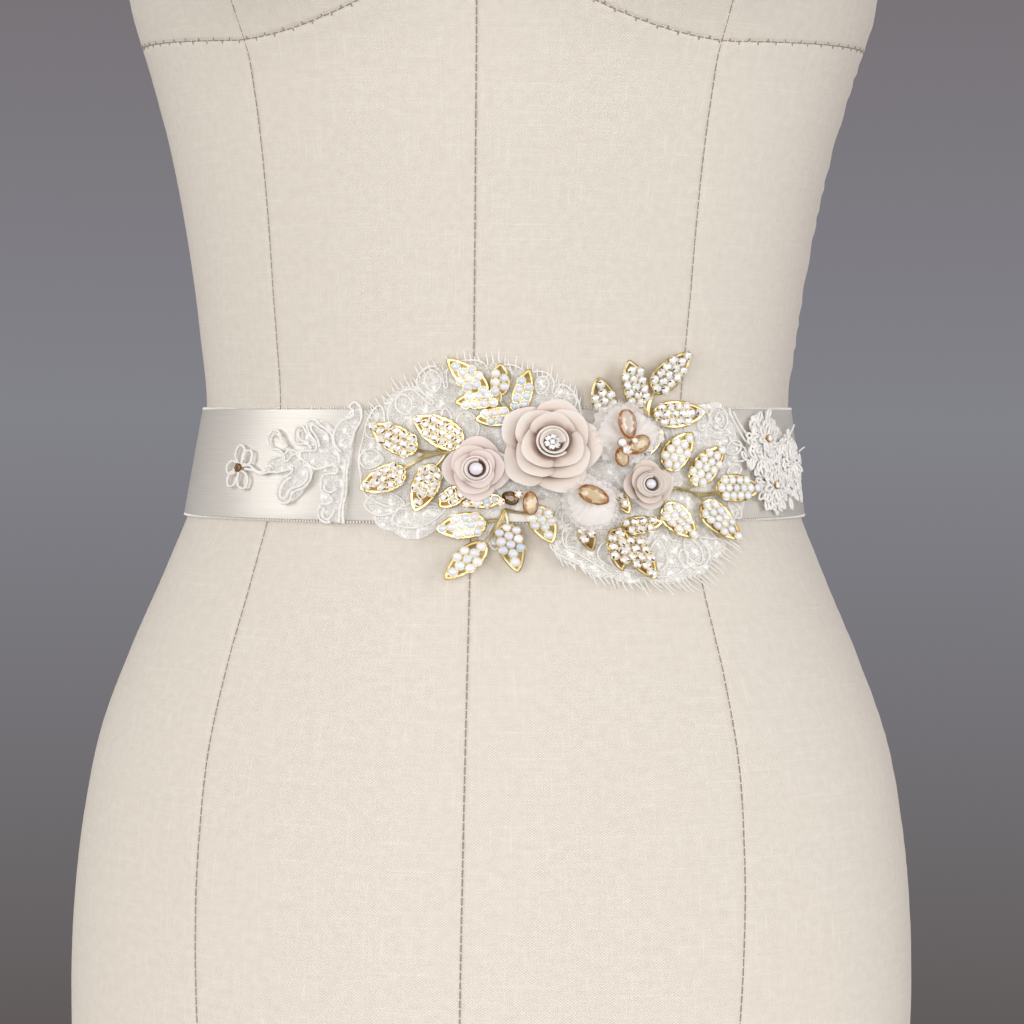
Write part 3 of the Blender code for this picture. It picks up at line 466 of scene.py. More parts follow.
# opal glass, pressed and fire polished: milky, each a little bluer or pinker
milky = {
    "Roughness": 0.12, "IOR": 1.5, "Coat_Weight": 0.4, "Subsurface_Weight": 0.2, "Subsurface_Scale": 0.0008,
}
blueStops = [(0.0, "#d9e3ef"), (0.35, "#fbfbfa"), (0.7, "#e8e6ee"), (1.0, "#cbdaec")]
blueOpal = stone("blueOpalGlass", blueStops, **milky)
milkOpal = stone("milkOpalGlass", [(0.0, "#f5f5f4"), (0.5, "#fdfcfa"), (1.0, "#e8ecf2")], **milky)


def tintedGlass(name, middle, edge):
    # cut and polished, with a foil back: paler at the table than at the rim, and each facet lighter or darker
    # by its painted reflection
    material, tree = newMaterial(
        name, Roughness=0.05, IOR=1.55, Transmission_Weight=0.35, Coat_Weight=0.3
    )
    rim = addNode(tree, "Attribute", attribute_name="rim").outputs["Fac"]
    facet = addNode(tree, "Attribute", attribute_name="facet").outputs["Fac"]
    tone = addNode(tree, "Math", {0: facet, 1: 0.8, 2: rim}, operation="MULTIPLY_ADD")
    return finishMaterial(material, tone.outputs[0], [(0.25, middle), (0.95, edge)])


glassKinds = {
    "champagne": tintedGlass("champagneGlass", "#fdf0e2", "#c57f45"),
    "amber": tintedGlass("amberGlass", "#fae6bd", "#b97422"),
    "brown": tintedGlass("brownGlass", "#9a774f", "#432915"),
}


def clay(name, heart, middle, lip):
    # air-dry clay, rolled thin by hand: matt, with painted shade darkening it in the folds under each lip and
    # deep in the heart, and paler at the thin lips
    material, tree = newMaterial(
        name, Roughness=0.52, IOR=1.45, Subsurface_Weight=0.12, Subsurface_Scale=0.002, Sheen_Weight=0.05
    )
    rise = addNode(tree, "Attribute", attribute_name="petalPaintedLight").outputs["Fac"]
    place = addNode(tree, "TexCoord").outputs["Object"]
    cloud = addNode(tree, "TexNoise", {"Vector": place, "Scale": 130.0, "Detail": 2.0})
    grain = addNode(tree, "TexNoise", {"Vector": place, "Scale": 1800.0, "Detail": 3.0})
    tone = addNode(tree, "Math", {0: cloud.outputs["Fac"], 1: 0.24, 2: -0.12}, operation="MULTIPLY_ADD")
    mixed = addNode(tree, "Math", {0: rise, 1: tone.outputs[0]}, operation="ADD")
    # the first stop is the painted shade in the folds, the middle the clay's own colour, the last its pale
    # lips
    stops = [(0.08, heart), (0.5, middle), (0.95, lip)]
    return finishMaterial(material, mixed.outputs[0], stops, grain.outputs["Fac"], 0.12, 0.1)


# polyester organza, singed along its edge: sheerer outwards, with a sharp little shine
organzaCloth = grainedMaterial(
    "polyesterOrganza", ("#faf3ec", "#fffdfa"), 1500.0, 0.6, 0.05, Roughness=0.5, Sheen_Weight=0.6
)
tree = organzaCloth.node_tree
outward = addNode(tree, "Attribute", attribute_name="petalOut").outputs["Fac"]
sheer = {"From Min": 0.5, "From Max": 1.0, "To Min": 0.78, "To Max": 0.52}
thinner = addNode(tree, "MapRange", {"Value": outward, **sheer})
tree.links.new(thinner.outputs[0], tree.nodes["Principled BSDF"].inputs["Alpha"])

print("materials made")


# The dress form's cover

formCover = {
    "flat": (0.96, 0.80),
    "princess": [  # height, length from the centre front
        (-312, 62), (-146, 70.5), (-70, 73.5), (0, 75), (60, 75), (140, 71.6), (196, 76), (260, 72), (345, 62),
        (430, 62),
    ],
    "backPrincess": [(-312, 236), (0, 240), (345, 250), (430, 250)],
    "seamOffsets": [0.0, 0.5, 1.2, 2.6],
    "panelColumns": 20,
    "rowBands": [(-311.7, -150, 6.0), (-150, 148, 2.6), (152, 300, 4.0), (300, 390, 3.0), (390, 430, 5.0)],
    "underbust": 150.0,
    "underbustRows": [148.6, 149.4, 150.0, 150.6, 151.4],
    "underbustFade": 45.0,
    "groove": 0.55,
    "grooveWide": 0.55,
    "pucker": 0.1,
    "sidePucker": 3.3,
    "seamsEnd": 380.0,
}
seamMake = {
    "step": 3.0,
    "sunk": -0.25,
    "stitch": (2.6, 0.5),  # length and gap
    "underbust": (1.9, 0.7),
    "neck": (3.2, 1.0),
    "tick": (0.3, 3.1),
    "thread": 0.17,
    "tickThread": 0.18,
}


def seamPlaces(height):
    # the length along the waist of every vertical seam, from centre back round to centre back
    princess = np.interp(height, *np.array(formCover["princess"], float).T)
    behind = np.interp(height, *np.array(formCover["backPrincess"], float).T)
    side = np.full_like(height, waistLength / 4)
    half = np.full_like(height, waistLength / 2)
    return np.stack([-half, -behind, -side, -princess, np.zeros_like(height), princess, side, behind, half])


def underbustShift(along):
    # how far the seam under the cups lies above or below its usual height
    reach = np.abs(along)
    return np.where(reach < 75, -5.0 + 0.006 * (75 - reach) ** 2, -5.0 + 0.08 * (np.minimum(reach, 160) - 75))


def coverGrid():
    # a grid of eight panels: how far up each point is, its panel, and its place across the panel
    offsets, shares = formCover["seamOffsets"], formCover["panelColumns"] + 1
    columns = []  # panel, where the place is measured from, and how far
    for panel in range(8):
        columns += [(panel, "left", offset) for offset in offsets]
        columns += [(panel, "share", number / shares) for number in range(1, shares)]
        columns += [(panel, "right", offset) for offset in offsets[:0:-1]]
    columns.append((7, "right", 0.0))
    rows = []
    for bottom, top, step in formCover["rowBands"]:
        rows += list(np.linspace(bottom, top, round((top - bottom) / step), endpoint=False))
        if top == 148:
            rows += formCover["underbustRows"]
    rows.append(formShape["levels"][-1][0])
    bm = bmesh.new()
    bmesh.ops.create_grid(bm, x_segments=len(columns) - 1, y_segments=len(rows) - 1, size=1.0)
    mesh = meshOf(bm, outward=False)
    spots = (coordsOf(mesh) + 1) / 2
    column = np.round(spots[:, 0] * (len(columns) - 1)).astype(int)
    row = np.round(spots[:, 1] * (len(rows) - 1)).astype(int)
    return mesh, np.array(rows)[row], *(np.array(values)[column] for values in zip(*columns))


def buildCover():
    mesh, base, panel, kind, amount = coverGrid()
    places = seamPlaces(base)
    index = np.arange(len(base))
    left, right = places[panel, index], places[panel + 1, index]
    margin = formCover["seamOffsets"][-1]
    along = np.where(kind == "left", left + amount, right - amount)
    along = np.where(kind == "share", left + margin + amount * (right - left - 2 * margin), along)
    toSeam = np.where(kind == "share", np.minimum(along - left, right - along), amount)
    toUnderbust = base - formCover["underbust"]
    height = base + np.exp(-((toUnderbust / formCover["underbustFade"]) ** 2)) * underbustShift(along)
    front = np.clip(2.5 * np.cos(angleAt(along)) + 0.6, 0, 1)  # the underbust seam ends at the sides
    fade = np.clip((formCover["seamsEnd"] - height) / 8.0, 0, 1)
    groove = fade * np.exp(-((toSeam / formCover["grooveWide"]) ** 2))
    across = front * np.exp(-((toUnderbust / formCover["grooveWide"]) ** 2))
    ripple = np.sin(height * 0.62 + 2.6 * np.sin(height * 0.13)) * np.exp(-toSeam / 6.0)
    side = np.isin(panel, (1, 2, 5, 6)) & (np.abs(np.abs(along) - waistLength / 4) < 12)
    strong = np.where(side & (height > 15) & (height < 190), formCover["sidePucker"], 1.0)
    out = formCover["pucker"] * strong * ripple * fade - formCover["groove"] * np.maximum(groove, across)
    setCoords(mesh, np.stack([along, height, out], axis=1))
    piece = addPiece("form_cover", mesh, linenCover, ["form_body"], bed=formBed)
    bm = bmesh.new()
    bm.from_mesh(mesh)
    bmesh.ops.remove_doubles(bm, verts=bm.verts, dist=1e-6)  # closes the centre back seam
    bmesh.ops.recalc_face_normals(bm, faces=bm.faces)
    bm.to_mesh(mesh)
    bm.free()


def dashes(line, length, gap):
    # cuts a line into stitches
    pitch = length + gap
    starts = [number * pitch for number in range(int(lengthsAlong(line)[-1] / pitch))]
    return [pointsAlong(line, np.linspace(start, start + length, 3)) for start in starts]


def flatLine(along, up, out):
    return np.stack(np.broadcast_arrays(along, up, out), axis=1).astype(float)


def buildSeams():
    heights = np.arange(-308.0, formCover["seamsEnd"], seamMake["step"])
    stitches = []
    for seam in seamPlaces(heights)[:-1]:
        stitches += dashes(flatLine(seam, heights, seamMake["sunk"]), *seamMake["stitch"])
    reach = waistLength / 4 + 6
    along = np.arange(-reach, reach, 2.0)
    underbust = flatLine(along, formCover["underbust"] + underbustShift(along), -0.15)
    stitches += dashes(underbust, *seamMake["underbust"])
    neck = flatLine(np.linspace(-waistLength / 2, waistLength / 2, 220), formCover["seamsEnd"], 0.05)
    stitches += dashes(neck, *seamMake["neck"])
    ticks = []
    for number, stitch in enumerate(dashes(underbust, *seamMake["tick"])):
        way = 1 if number % 2 else -1
        ticks.append(np.array([stitch[0] + (0, 0.2 * way, 0.2), stitch[0] + (0.1, way, 0.15)]))
    bm = tubes(stitches, seamMake["thread"], sides=4)
    bm.from_mesh(meshOf(tubes(ticks, seamMake["tickThread"], sides=4)))
    addPiece("form_seams", bm, seamThread, bed=formBed, sharp=38.0)


buildCover()
buildSeams()
for node in ("form_base", "form_neck_cap"):
    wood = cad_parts[node]
    wood.data.materials.clear()
    wood.data.materials.append(paint)
print("form made")


# The satin ribbon

picotMake = {"pitch": 1.12, "radius": 0.5, "reach": 1.05, "lift": 0.05, "shape": (0.7, 1.2, 0.5)}
ribbonHalf = (waistLength + ribbonShape["lap"]) / 2


def ribbonHeight(along, across):
    # the ribbon's outer face above the form: the lap at the centre back, and soft wrinkles
    start = waistLength / 2 - ribbonShape["lap"] / 2
    share = np.clip((along - start + ribbonShape["ramp"] + 1.2) / ribbonShape["ramp"], 0, 1)
    wave = 0.16 * np.sin(along * 0.11 + 1.1 * np.sin(along * 0.043)) * np.cos(across * 0.09)
    edge = -0.35 * np.clip((np.abs(across) - 17.5) / 2.5, 0, 1) ** 2
    return ribbonShape["top"] + 1.3 * share + wave + edge


def buildRibbon():
    bm = bmesh.new()
    bmesh.ops.create_grid(bm, x_segments=330, y_segments=24, size=1.0)
    edge = ribbonShape["width"] / 2 - picotMake["reach"]
    bmesh.ops.scale(bm, vec=(ribbonHalf, edge, 1.0), verts=bm.verts)
    bmesh.ops.solidify(bm, geom=bm.faces[:], thickness=ribbonShape["thick"])
    mesh = meshOf(bm, outward=False)
    flat = coordsOf(mesh)
    flat[:, 2] += ribbonHeight(flat[:, 0], flat[:, 1]) - flat[:, 2].max()
    flat[:, 1] += ribbonTilt(flat[:, 0])
    setCoords(mesh, flat)
    return addPiece("sash_ribbon_satin", mesh, satin, ["sash_ribbon"], sharp=38.0)


def buildPicots():
    # small thread loops along both edges
    along = np.arange(-ribbonHalf + 0.5, ribbonHalf - 0.5, picotMake["pitch"])
    bead = roundBead(picotMake["radius"])
    bm = bmesh.new()
    for side in (-1, 1):
        across = side * (ribbonShape["width"] / 2 - picotMake["reach"] / 2)
        heights = ribbonHeight(along, np.full_like(along, across)) + picotMake["lift"]
        for spot in zip(along, across + ribbonTilt(along), heights):
            stamp(bm, bead, Matrix.Translation(spot) @ sized(*picotMake["shape"]))
    return addPiece("sash_ribbon_picots", bm, picotThread)


ribbon = buildRibbon()
picots = buildPicots()
print("ribbon made")


# Cast leaves with their stones

leafRow = namedtuple("leafRow", "along up turn length width under rise")
sprays = {
    "spray_left": {
        "stones": "champagne",
        "leaves": [
            leafRow(-17.9, 4.7, 153, 17.7, 9.2, 3.5, 1.4), leafRow(-2.9, 7.3, 153, 18.2, 10.5, 3.5, 1.4),
            leafRow(-21.3, -2.3, -156, 15.9, 9.4, 3.5, 1.4), leafRow(-11.9, -0.2, -109, 16.7, 9.2, 3.5, 1.4),
        ],
        "stems": [
            (-3.5, 5.2, -19.5, 4.9), (-10, 5, -23, -2.8), (-7.5, 5.1, -12.6, -2), (-6, 5.1, -4.6, 8.4),
        ],
    },
    "spray_top": {
        "stones": "blue",
        "leaves": [
            leafRow(4.7, 24.5, 138, 17.1, 7.7, 3.5, 1.6), leafRow(9, 24, 89, 10.8, 6.5, 3.5, 1.6),
            leafRow(8.3, 22.8, -174, 13.7, 6.2, 3.5, 0.6), leafRow(13.7, 17.3, -171, 12.5, 6.5, 3.5, 0.6),
            leafRow(15.1, 18.4, 77, 14.8, 6.5, 3.5, 1.4),
        ],
        "stems": [
            (14.9, 17.6, 6.5, 24.8), (9, 22.8, 9, 26), (9.6, 22.2, 6.6, 22.6), (14.9, 17.6, 15.6, 20.6),
            (14.9, 17.6, 11.6, 17),
        ],
    },
    "spray_bottom": {
        "stones": "blue",
        "leaves": [
            leafRow(4.9, -19.5, -170, 15.4, 9.2, 3.5, 1.4), leafRow(4.7, -26.7, -133, 16.6, 7.8, 3.5, 1.8),
            leafRow(11.3, -19.7, -79, 16.8, 8.2, 3.5, 1.8), leafRow(20.8, -13.8, -70, 13.3, 8.3, 3.5, 1),
        ],
        "stems": [
            (10.7, -14.8, 3.2, -28), (8.6, -18.2, 2.8, -19.8), (10.7, -14.8, 11.8, -22),
            (10.7, -14.8, 21.6, -15.6),
        ],
    },
    "spray_top_right": {
        "stones": "clear",
        "leaves": [
            leafRow(45, 18, 105, 12.8, 8.1, 3.4, 0.8), leafRow(56.9, 20.6, 110, 17, 9, 3.5, 1.8),
            leafRow(61.3, 26.2, 50, 17.8, 10, 3.5, 2), leafRow(61.5, 17.7, 3, 19.2, 10, 3.5, 1.6),
        ],
        "stems": [
            (59, 18, 62.6, 27.8), (59, 18, 56, 23), (59, 18, 64, 17.9), (59, 18, 44.6, 19.6),
        ],
    },
    "spray_right": {
        "stones": "milk",
        "leaves": [
            leafRow(64.3, -0.2, 47, 15.8, 10, 3.5, 1.2), leafRow(73.9, -5.4, 42, 18, 9.8, 3.5, 1.4),
            leafRow(83.9, -7.3, -1, 18.4, 9.6, 3.5, 1.8), leafRow(78, -12.2, -51, 17.7, 11.4, 3.5, 1.6),
            leafRow(63.5, -12.9, -53, 14.9, 10.8, 3.5, 1.2),
        ],
        "stems": [
            (62.5, -6.9, 74.5, -9), (74.5, -9, 87, -7.8), (74.5, -9, 79.6, -14), (71, -8.4, 76, -3.8),
            (62.5, -6.9, 66, 1.4), (62.5, -6.9, 65, -15),
        ],
    },
    "spray_low_right": {
        "stones": "champagne",
        "leaves": [
            leafRow(47.9, -20.8, 7, 14.1, 6.4, 3.5, 0.4), leafRow(45.6, -21.6, -90, 14, 6.3, 3.5, 1.4),
            leafRow(49.5, -24.2, -67, 15.6, 8.6, 3.5, 1.6),
        ],
        "stems": [(47.2, -20.9, 50.2, -20.6), (47.2, -20.9, 45.6, -24.4), (47.2, -20.9, 50.2, -25.8)],
    },
}
singleLeaves = {
    "leaf_behind": ("champagne", leafRow(57.6, 4.6, 47, 10.4, 4.4, 3.2, 0.2)),
    "leaf_under_rose": ("champagne", leafRow(-2.9, -8.2, -139, 9, 6.4, 3.2, 0.6)),
    "leaf_opal": ("blue", leafRow(9.5, -11.1, -168, 10.4, 4.4, 3.2, 0.4)),
    "leaf_beside": ("champagne", leafRow(47.2, -8.2, -64, 8.4, 4.4, 3.2, 0)),
    "leaf_low": ("champagne", leafRow(35.7, -18.8, -81, 10.3, 5.4, 3.3, 0.9)),
}
leafMake = {
    "slim": 0.88,
    "plate": 0.9,
    "rim": 0.28,
    "rimHigh": 0.35,
    "grown": 0.18,
    "scallops": 26,
    "scallopDeep": 0.07,
    "stone": 1.46,
    "pitch": 3.0,
    "rowApart": 0.88,
    "pairApart": 0.47,
    "wide": 7.2,  # a leaf wider than this has three rows of stones
    "narrow": 5.0,  # and one narrower than this has one
    "collarTop": 1.6,
    "bead": 0.2,
    "lean": 0.16,
    "stem": 0.5,
    "stemHeights": (4.2, 4.6, 4.5),
    "wireShift": (0.5, -0.9, 0.25),
}
brilliantRings = [(12, 1.0, 0.0, 0.0), (8, 0.8, 0.3, 10.0), (6, 0.42, 0.48, 25.0), (6, 0.3, -0.5, 0.0)]


def paintFacetReflections(bm):
    # a painted reflection for each facet, light or dark at random, and a painted highlight on the table
    draw = random.Random("facets")
    bm.normal_update()
    flash = bm.faces.layers.float.new("facet")
    for face in bm.faces:
        face[flash] = draw.random() * (0.5 if face.normal.z > 0.95 else 1.0)


def brilliant():
    # a round cut stone of radius 1: girdle, eight main facets, table and back, as one convex hull
    bm = bmesh.new()
    for count, radius, height, turn in brilliantRings:
        for spot in ringSpots(count, radius, turn):
            bm.verts.new((*spot, height))
    bmesh.ops.convex_hull(bm, input=bm.verts)
    paintFacetReflections(bm)
    return meshOf(bm)


def cabochon():
    # a round domed stone of radius 1
    bm = bmesh.new()
    bmesh.ops.create_uvsphere(bm, u_segments=10, v_segments=6, radius=1.0)
    bmesh.ops.scale(bm, vec=(1.0, 1.0, 0.72), verts=bm.verts)
    return meshOf(bm)


def collar():
    # the cup that a stone sits in
    bm = bmesh.new()
    bmesh.ops.create_cone(bm, cap_ends=True, segments=10, radius1=1.0, radius2=1.13, depth=1.0)
    return meshOf(bm)


cutStone, domeStone, cup, tinyBead = brilliant(), cabochon(), collar(), roundBead(1.0)
gems = {  # looks, shape, and the angle from which an edge is sharp
    "clear": (clearCrystal, cutStone, 12.0),
    "champagne": (champagneCrystal, cutStone, 12.0),
    "blue": (blueOpal, domeStone, 60.0),
    "milk": (milkOpal, domeStone, 60.0),
    "topaz": (glassKinds["brown"], cutStone, 12.0),
}


def leafHalf(leaf, share):
    # half the leaf's width at a share of its length
    share = min(max(share, 0.0), 1.0)
    return leafMake["slim"] * leaf.width / 2 * share**0.5 * (1 - share) ** 0.75 / 0.431


def leafShape(leaf, segments, start, span, grown, scallop, height):
    # a flat leaf: start and span place it along the leaf's length, and grown widens it
    bm = bmesh.new()
    bmesh.ops.create_circle(bm, cap_ends=True, segments=segments, radius=1.0)
    for vert in bm.verts:
        angle = math.atan2(vert.co.y, vert.co.x)
        share = (1 - math.cos(angle)) / 2
        ripple = 1 + scallop * abs(math.sin(leafMake["scallops"] * angle / 2)) * math.sin(angle) ** 2
        half = max(leafHalf(leaf, share) * ripple + grown, 0.05)
        vert.co = Vector((leaf.length * (start + span * share), math.copysign(half, vert.co.y), height))
    return bm


def leafPlate(leaf):
    # the cast plate, with a scalloped rim round a sunk floor
    top = leafMake["plate"] + leafMake["rimHigh"]
    bm = leafShape(leaf, 96, 0.0, 1.0, leafMake["grown"], leafMake["scallopDeep"], top)
    bmesh.ops.inset_individual(bm, faces=bm.faces[:], thickness=leafMake["rim"], use_even_offset=True)
    for vert in max(bm.faces, key=lambda face: face.calc_area()).verts:
        vert.co.z -= leafMake["rimHigh"]
    rim = [edge for edge in bm.edges if edge.is_boundary]
    for item in bmesh.ops.extrude_edge_only(bm, edges=rim)["geom"]:
        if isinstance(item, bmesh.types.BMVert):
            item.co.z = 0.0
    bmesh.ops.holes_fill(bm, edges=[edge for edge in bm.edges if edge.is_boundary], sides=0)
    return meshOf(bm)


def leafShadeFloor(leaf):
    # the floor inside the rim, coloured dark as painted shade between the stones
    bm = leafShape(leaf, 48, 0.03, 0.93, -leafMake["rim"], 0.0, leafMake["plate"] + 0.12)
    bmesh.ops.solidify(bm, geom=bm.faces[:], thickness=0.1)
    return meshOf(bm)


def stonePlaces(leaf):
    # stones in rows that follow the leaf, in its own frame
    pitch, radius = leafMake["pitch"], leafMake["stone"]
    beside, pair = leafMake["rowApart"] * pitch, leafMake["pairApart"] * pitch
    if leaf.width > leafMake["wide"]:
        rows = [(0.0, 0.0), (beside, 0.5), (-beside, 0.5)]
    else:
        rows = [(pair, 0.0), (-pair, 0.5)] if leaf.width > leafMake["narrow"] else [(0.0, 0.0)]
    found = []
    for y, shift in rows:
        x = 1.6 + shift * pitch
        while x < leaf.length - 0.8:
            if leafHalf(leaf, x / leaf.length) > abs(y) + radius * (0.28 if y else 0.58):
                found.append((x, y))
            x += pitch
    return found


def stemLines(stems):
    # each stem bows a little, and the first two have a thinner wire beside them
    lines = []
    low, middle, high = leafMake["stemHeights"]
    for number, (x0, y0, x1, y1) in enumerate(stems):
        bend = 0.06 * (-1) ** number
        bowed = ((x0 + x1) / 2 - bend * (y1 - y0), (y0 + y1) / 2 + bend * (x1 - x0), middle)
        line = smoothLine([(x0, y0, low), bowed, (x1, y1, high)], 0.8)
        lines.append(np.column_stack([line, np.linspace(1.15, 0.8, len(line))]))
        if number < 2:
            wire = line + np.array(leafMake["wireShift"]) * np.linspace(1.0, 0.2, len(line))[:, None]
            lines.append(np.column_stack([wire, np.linspace(0.9, 0.6, len(line))]))
    return lines


def buildLeaves(name, leaves, stems, kind):
    cast, stones, floors = bmesh.new(), facetedMesh(), bmesh.new()
    draw = random.Random(name)
    look, gem, sharp = gems[kind]
    bead, lean = leafMake["bead"], leafMake["lean"]
    for leaf in leaves:
        tilt = math.atan2(leaf.rise, leaf.length)
        here = placing(leaf.along, leaf.up, leaf.under, leaf.turn) @ Matrix.Rotation(-tilt, 4, "Y")
        stamp(cast, leafPlate(leaf), here)
        # a dark floor of painted shade under the stones
        stamp(floors, leafShadeFloor(leaf), here)
        for x, y in stonePlaces(leaf):
            size = leafMake["stone"] * draw.uniform(0.95, 1.04)
            seat = here @ Matrix.Translation((x, y, leafMake["collarTop"]))
            stamp(cast, cup, seat @ Matrix.Translation((0, 0, -0.5)) @ sized(size, size, 1.0))
            spin = Matrix.Rotation(draw.uniform(0, 6.28), 4, "Z")
            tipX, tipY = (Matrix.Rotation(draw.uniform(-lean, lean), 4, axis) for axis in "XY")
            lifted = seat @ Matrix.Translation((0, 0, 0.12))
            stamp(stones, gem, lifted @ tipX @ tipY @ spin @ sized(size, size, size))
            for spot in ringSpots(4, 1.13 * size, 45):
                stamp(cast, tinyBead, seat @ Matrix.Translation((*spot, 0.16)) @ sized(bead, bead, bead * 1.3))
    if stems:
        cast.from_mesh(meshOf(tubes(stemLines(stems), leafMake["stem"], sides=8)))
    addPiece(name + "_cast", cast, gold, [name], sharp=30.0, outward=False)
    addPiece(name + "_shade_floors", floors, shadeBeds[kind], sharp=30.0, outward=False)
    addPiece(name + "_stones", stones, look, sharp=sharp, outward=False)


for name, spray in sprays.items():
    buildLeaves(name, spray["leaves"], spray["stems"], spray["stones"])
for name, (kind, leaf) in singleLeaves.items():
    buildLeaves(name, [leaf], [], kind)
print("leaves made")


# Clay roses

roundRow = namedtuple("roundRow", "base baseHeight lip lipHeight spread spiral")
# colours: the painted shade in the folds, the clay's own colour, and its pale lips
roseRow = namedtuple("roseRow", "place scale turn counts heart lean gem stone colours")
roses = {
    "rose_big": roseRow(
        (25.4, 6.1), 0.87, -8.0, (5, 4, 3), 1.02, 2.2, "clear", 0.98, ("#8f7265", "#e2d1c5", "#f6ede4")
    ),
    "rose_mid": roseRow(
        (2.1, -1.4), 0.57, 75.0, (4, 3, 3), 1.3, 0.0, "blue", 2.25, ("#7a5f57", "#dcc8bf", "#f4e8e1")
    ),
    "rose_small": roseRow(
        (57.2, -6.4), 0.44, 80.0, (4, 3, 2), 1.42, 1.0, "blue", 1.75, ("#6f5b52", "#d0bdb0", "#eee1d6")
    ),
}
roseRounds = [
    roundRow(5.2, 1.0, 16.6, 4.6, 1.38, 2.2),
    roundRow(4.6, 2.4, 12.4, 8.2, 1.42, 1.9),
    roundRow(4.2, 4.0, 8.8, 11.0, 1.45, 1.5),
]
roseHeart = roundRow(2.9, 5.0, 3.7, 12.9, 1.0, 2.3)
heartShade = 6.2  # how far out the heart shades the petals round it
petalMake = {
    "thick": 0.75,
    "across": 32,
    "up": 18,
    "under": 4.4,
    "droop": 0.4,
    "corner": 0.32,
    "shadow": 2.9,
    "heartThick": 0.55,
    "heartTurns": 1.9,
}
budShape = {"low": 6.2, "high": 3.0, "deep": 9.0}


def petalFull(across):
    # how much of its full reach a petal has at a place across it: its lip droops, and its corners are round
    corner = max(abs(across) - 0.66, 0.0) / 0.34
    return 1 - petalMake["droop"] * abs(across) ** 2.2 - petalMake["corner"] * corner**2


def lipReach(shape, across):
    # how far from the rose's middle a petal's lip is, at a place across the petal
    return shape.base + (shape.lip - shape.base) * petalFull(across) + shape.spiral * across


def paintedLipShade(shape, innerLip, across, reach):
    # painted shade under the lips: 0 close under the lip of the petal that lies over this one, 1 out in the
    # open
    beside = across + 2 / shape.spread
    past = max(beside - 1, 0.0) * reach * 0.9
    gap = math.hypot(max(reach - lipReach(shape, min(beside, 1.0)), 0.0), past)
    gap = min(gap, max(reach - innerLip * 0.96, 0.0))
    return 1 - math.exp(-gap / petalMake["shadow"])


def petalSheet(columns, rows):
    sheet = bmesh.new()
    bmesh.ops.create_grid(sheet, x_segments=columns, y_segments=rows, size=1.0)
    return sheet, sheet.verts.layers.float.new("petalPaintedLight")


def rosePoint(rose, reach, angle, height):
    lean = rose.lean * height / 12
    return Vector((reach * math.cos(angle), reach * math.sin(angle) + lean, height)) * rose.scale


def thickened(sheet, thickness):
    bmesh.ops.recalc_face_normals(sheet, faces=sheet.faces)
    bmesh.ops.solidify(sheet, geom=sheet.faces[:], thickness=thickness)
    return meshOf(sheet, outward=False)


def petalMesh(rose, shape, innerLip, count, number, level, draw):
    # one petal: a sheet from the heart to the lip, its edge rolled outwards
    sheet, rise = petalSheet(petalMake["across"], petalMake["up"])
    turn = math.radians(rose.turn + 360.0 * number / count + 37.0 * level)
    spread = math.pi / count * shape.spread
    wobble = draw.uniform(0, 6.28)
    fullness = draw.uniform(0.94, 1.06)
    for vert in sheet.verts:
        across, up = vert.co.x, (vert.co.y + 1) / 2
        droop = 1 - (1 - petalFull(across)) * up
        roll = max(up - 0.76, 0.0) / 0.24
        reach = shape.base + (shape.lip - shape.base) * fullness * up**1.25 * droop
        height = shape.baseHeight + (shape.lipHeight - shape.baseHeight) * up**0.7 * (0.4 + 0.6 * droop)
        point = 1.1 * up**3 * math.exp(-(((across - 0.2) / 0.3) ** 2))
        reach += 1.2 * roll**1.6 + point + shape.spiral * across
        height += -1.1 * roll**2 + 0.3 * up * math.sin(3.4 * across + wobble) + 1.5 * across * up
        vert.co = rosePoint(rose, reach, turn + spread * across, height)
        # painted shade from the lips over this petal, lightening towards its own lip
        vert[rise] = paintedLipShade(shape, innerLip, across, reach) * (0.75 + 0.25 * up**6)
    return thickened(sheet, petalMake["thick"] * (0.75 + 0.25 * rose.scale))


def heartMesh(rose):
    # the rolled heart: a spiral wall of nearly two turns round the stone
    sheet, rise = petalSheet(90, 10)
    for vert in sheet.verts:
        across, up = (vert.co.x + 1) / 2, (vert.co.y + 1) / 2
        roll = max(up - 0.75, 0.0) / 0.25
        reach = rose.heart * (roseHeart.base + roseHeart.spiral * across)
        reach += (roseHeart.lip - roseHeart.base) * up**2 + 0.35 * roll**1.5
        height = roseHeart.baseHeight + (roseHeart.lipHeight - roseHeart.baseHeight) * up
        height += -0.8 * across - 0.25 * roll**2
        angle = math.radians(rose.turn) + across * 2 * math.pi * petalMake["heartTurns"]
        vert.co = rosePoint(rose, reach, angle, height)
        # painted shade, darker deeper inside the heart
        vert[rise] = 0.22 + 0.7 * up
    return thickened(sheet, petalMake["heartThick"])


def budMesh(rose):
    # the solid core under the petals
    low, high, deep = (budShape[key] * rose.scale for key in ("low", "high", "deep"))
    bud = bmesh.new()
    bmesh.ops.create_cone(bud, cap_ends=True, segments=24, radius1=low, radius2=high, depth=deep)
    bmesh.ops.translate(bud, vec=(0, 0, deep / 2 - 1.1), verts=bud.verts)
    return meshOf(bud)


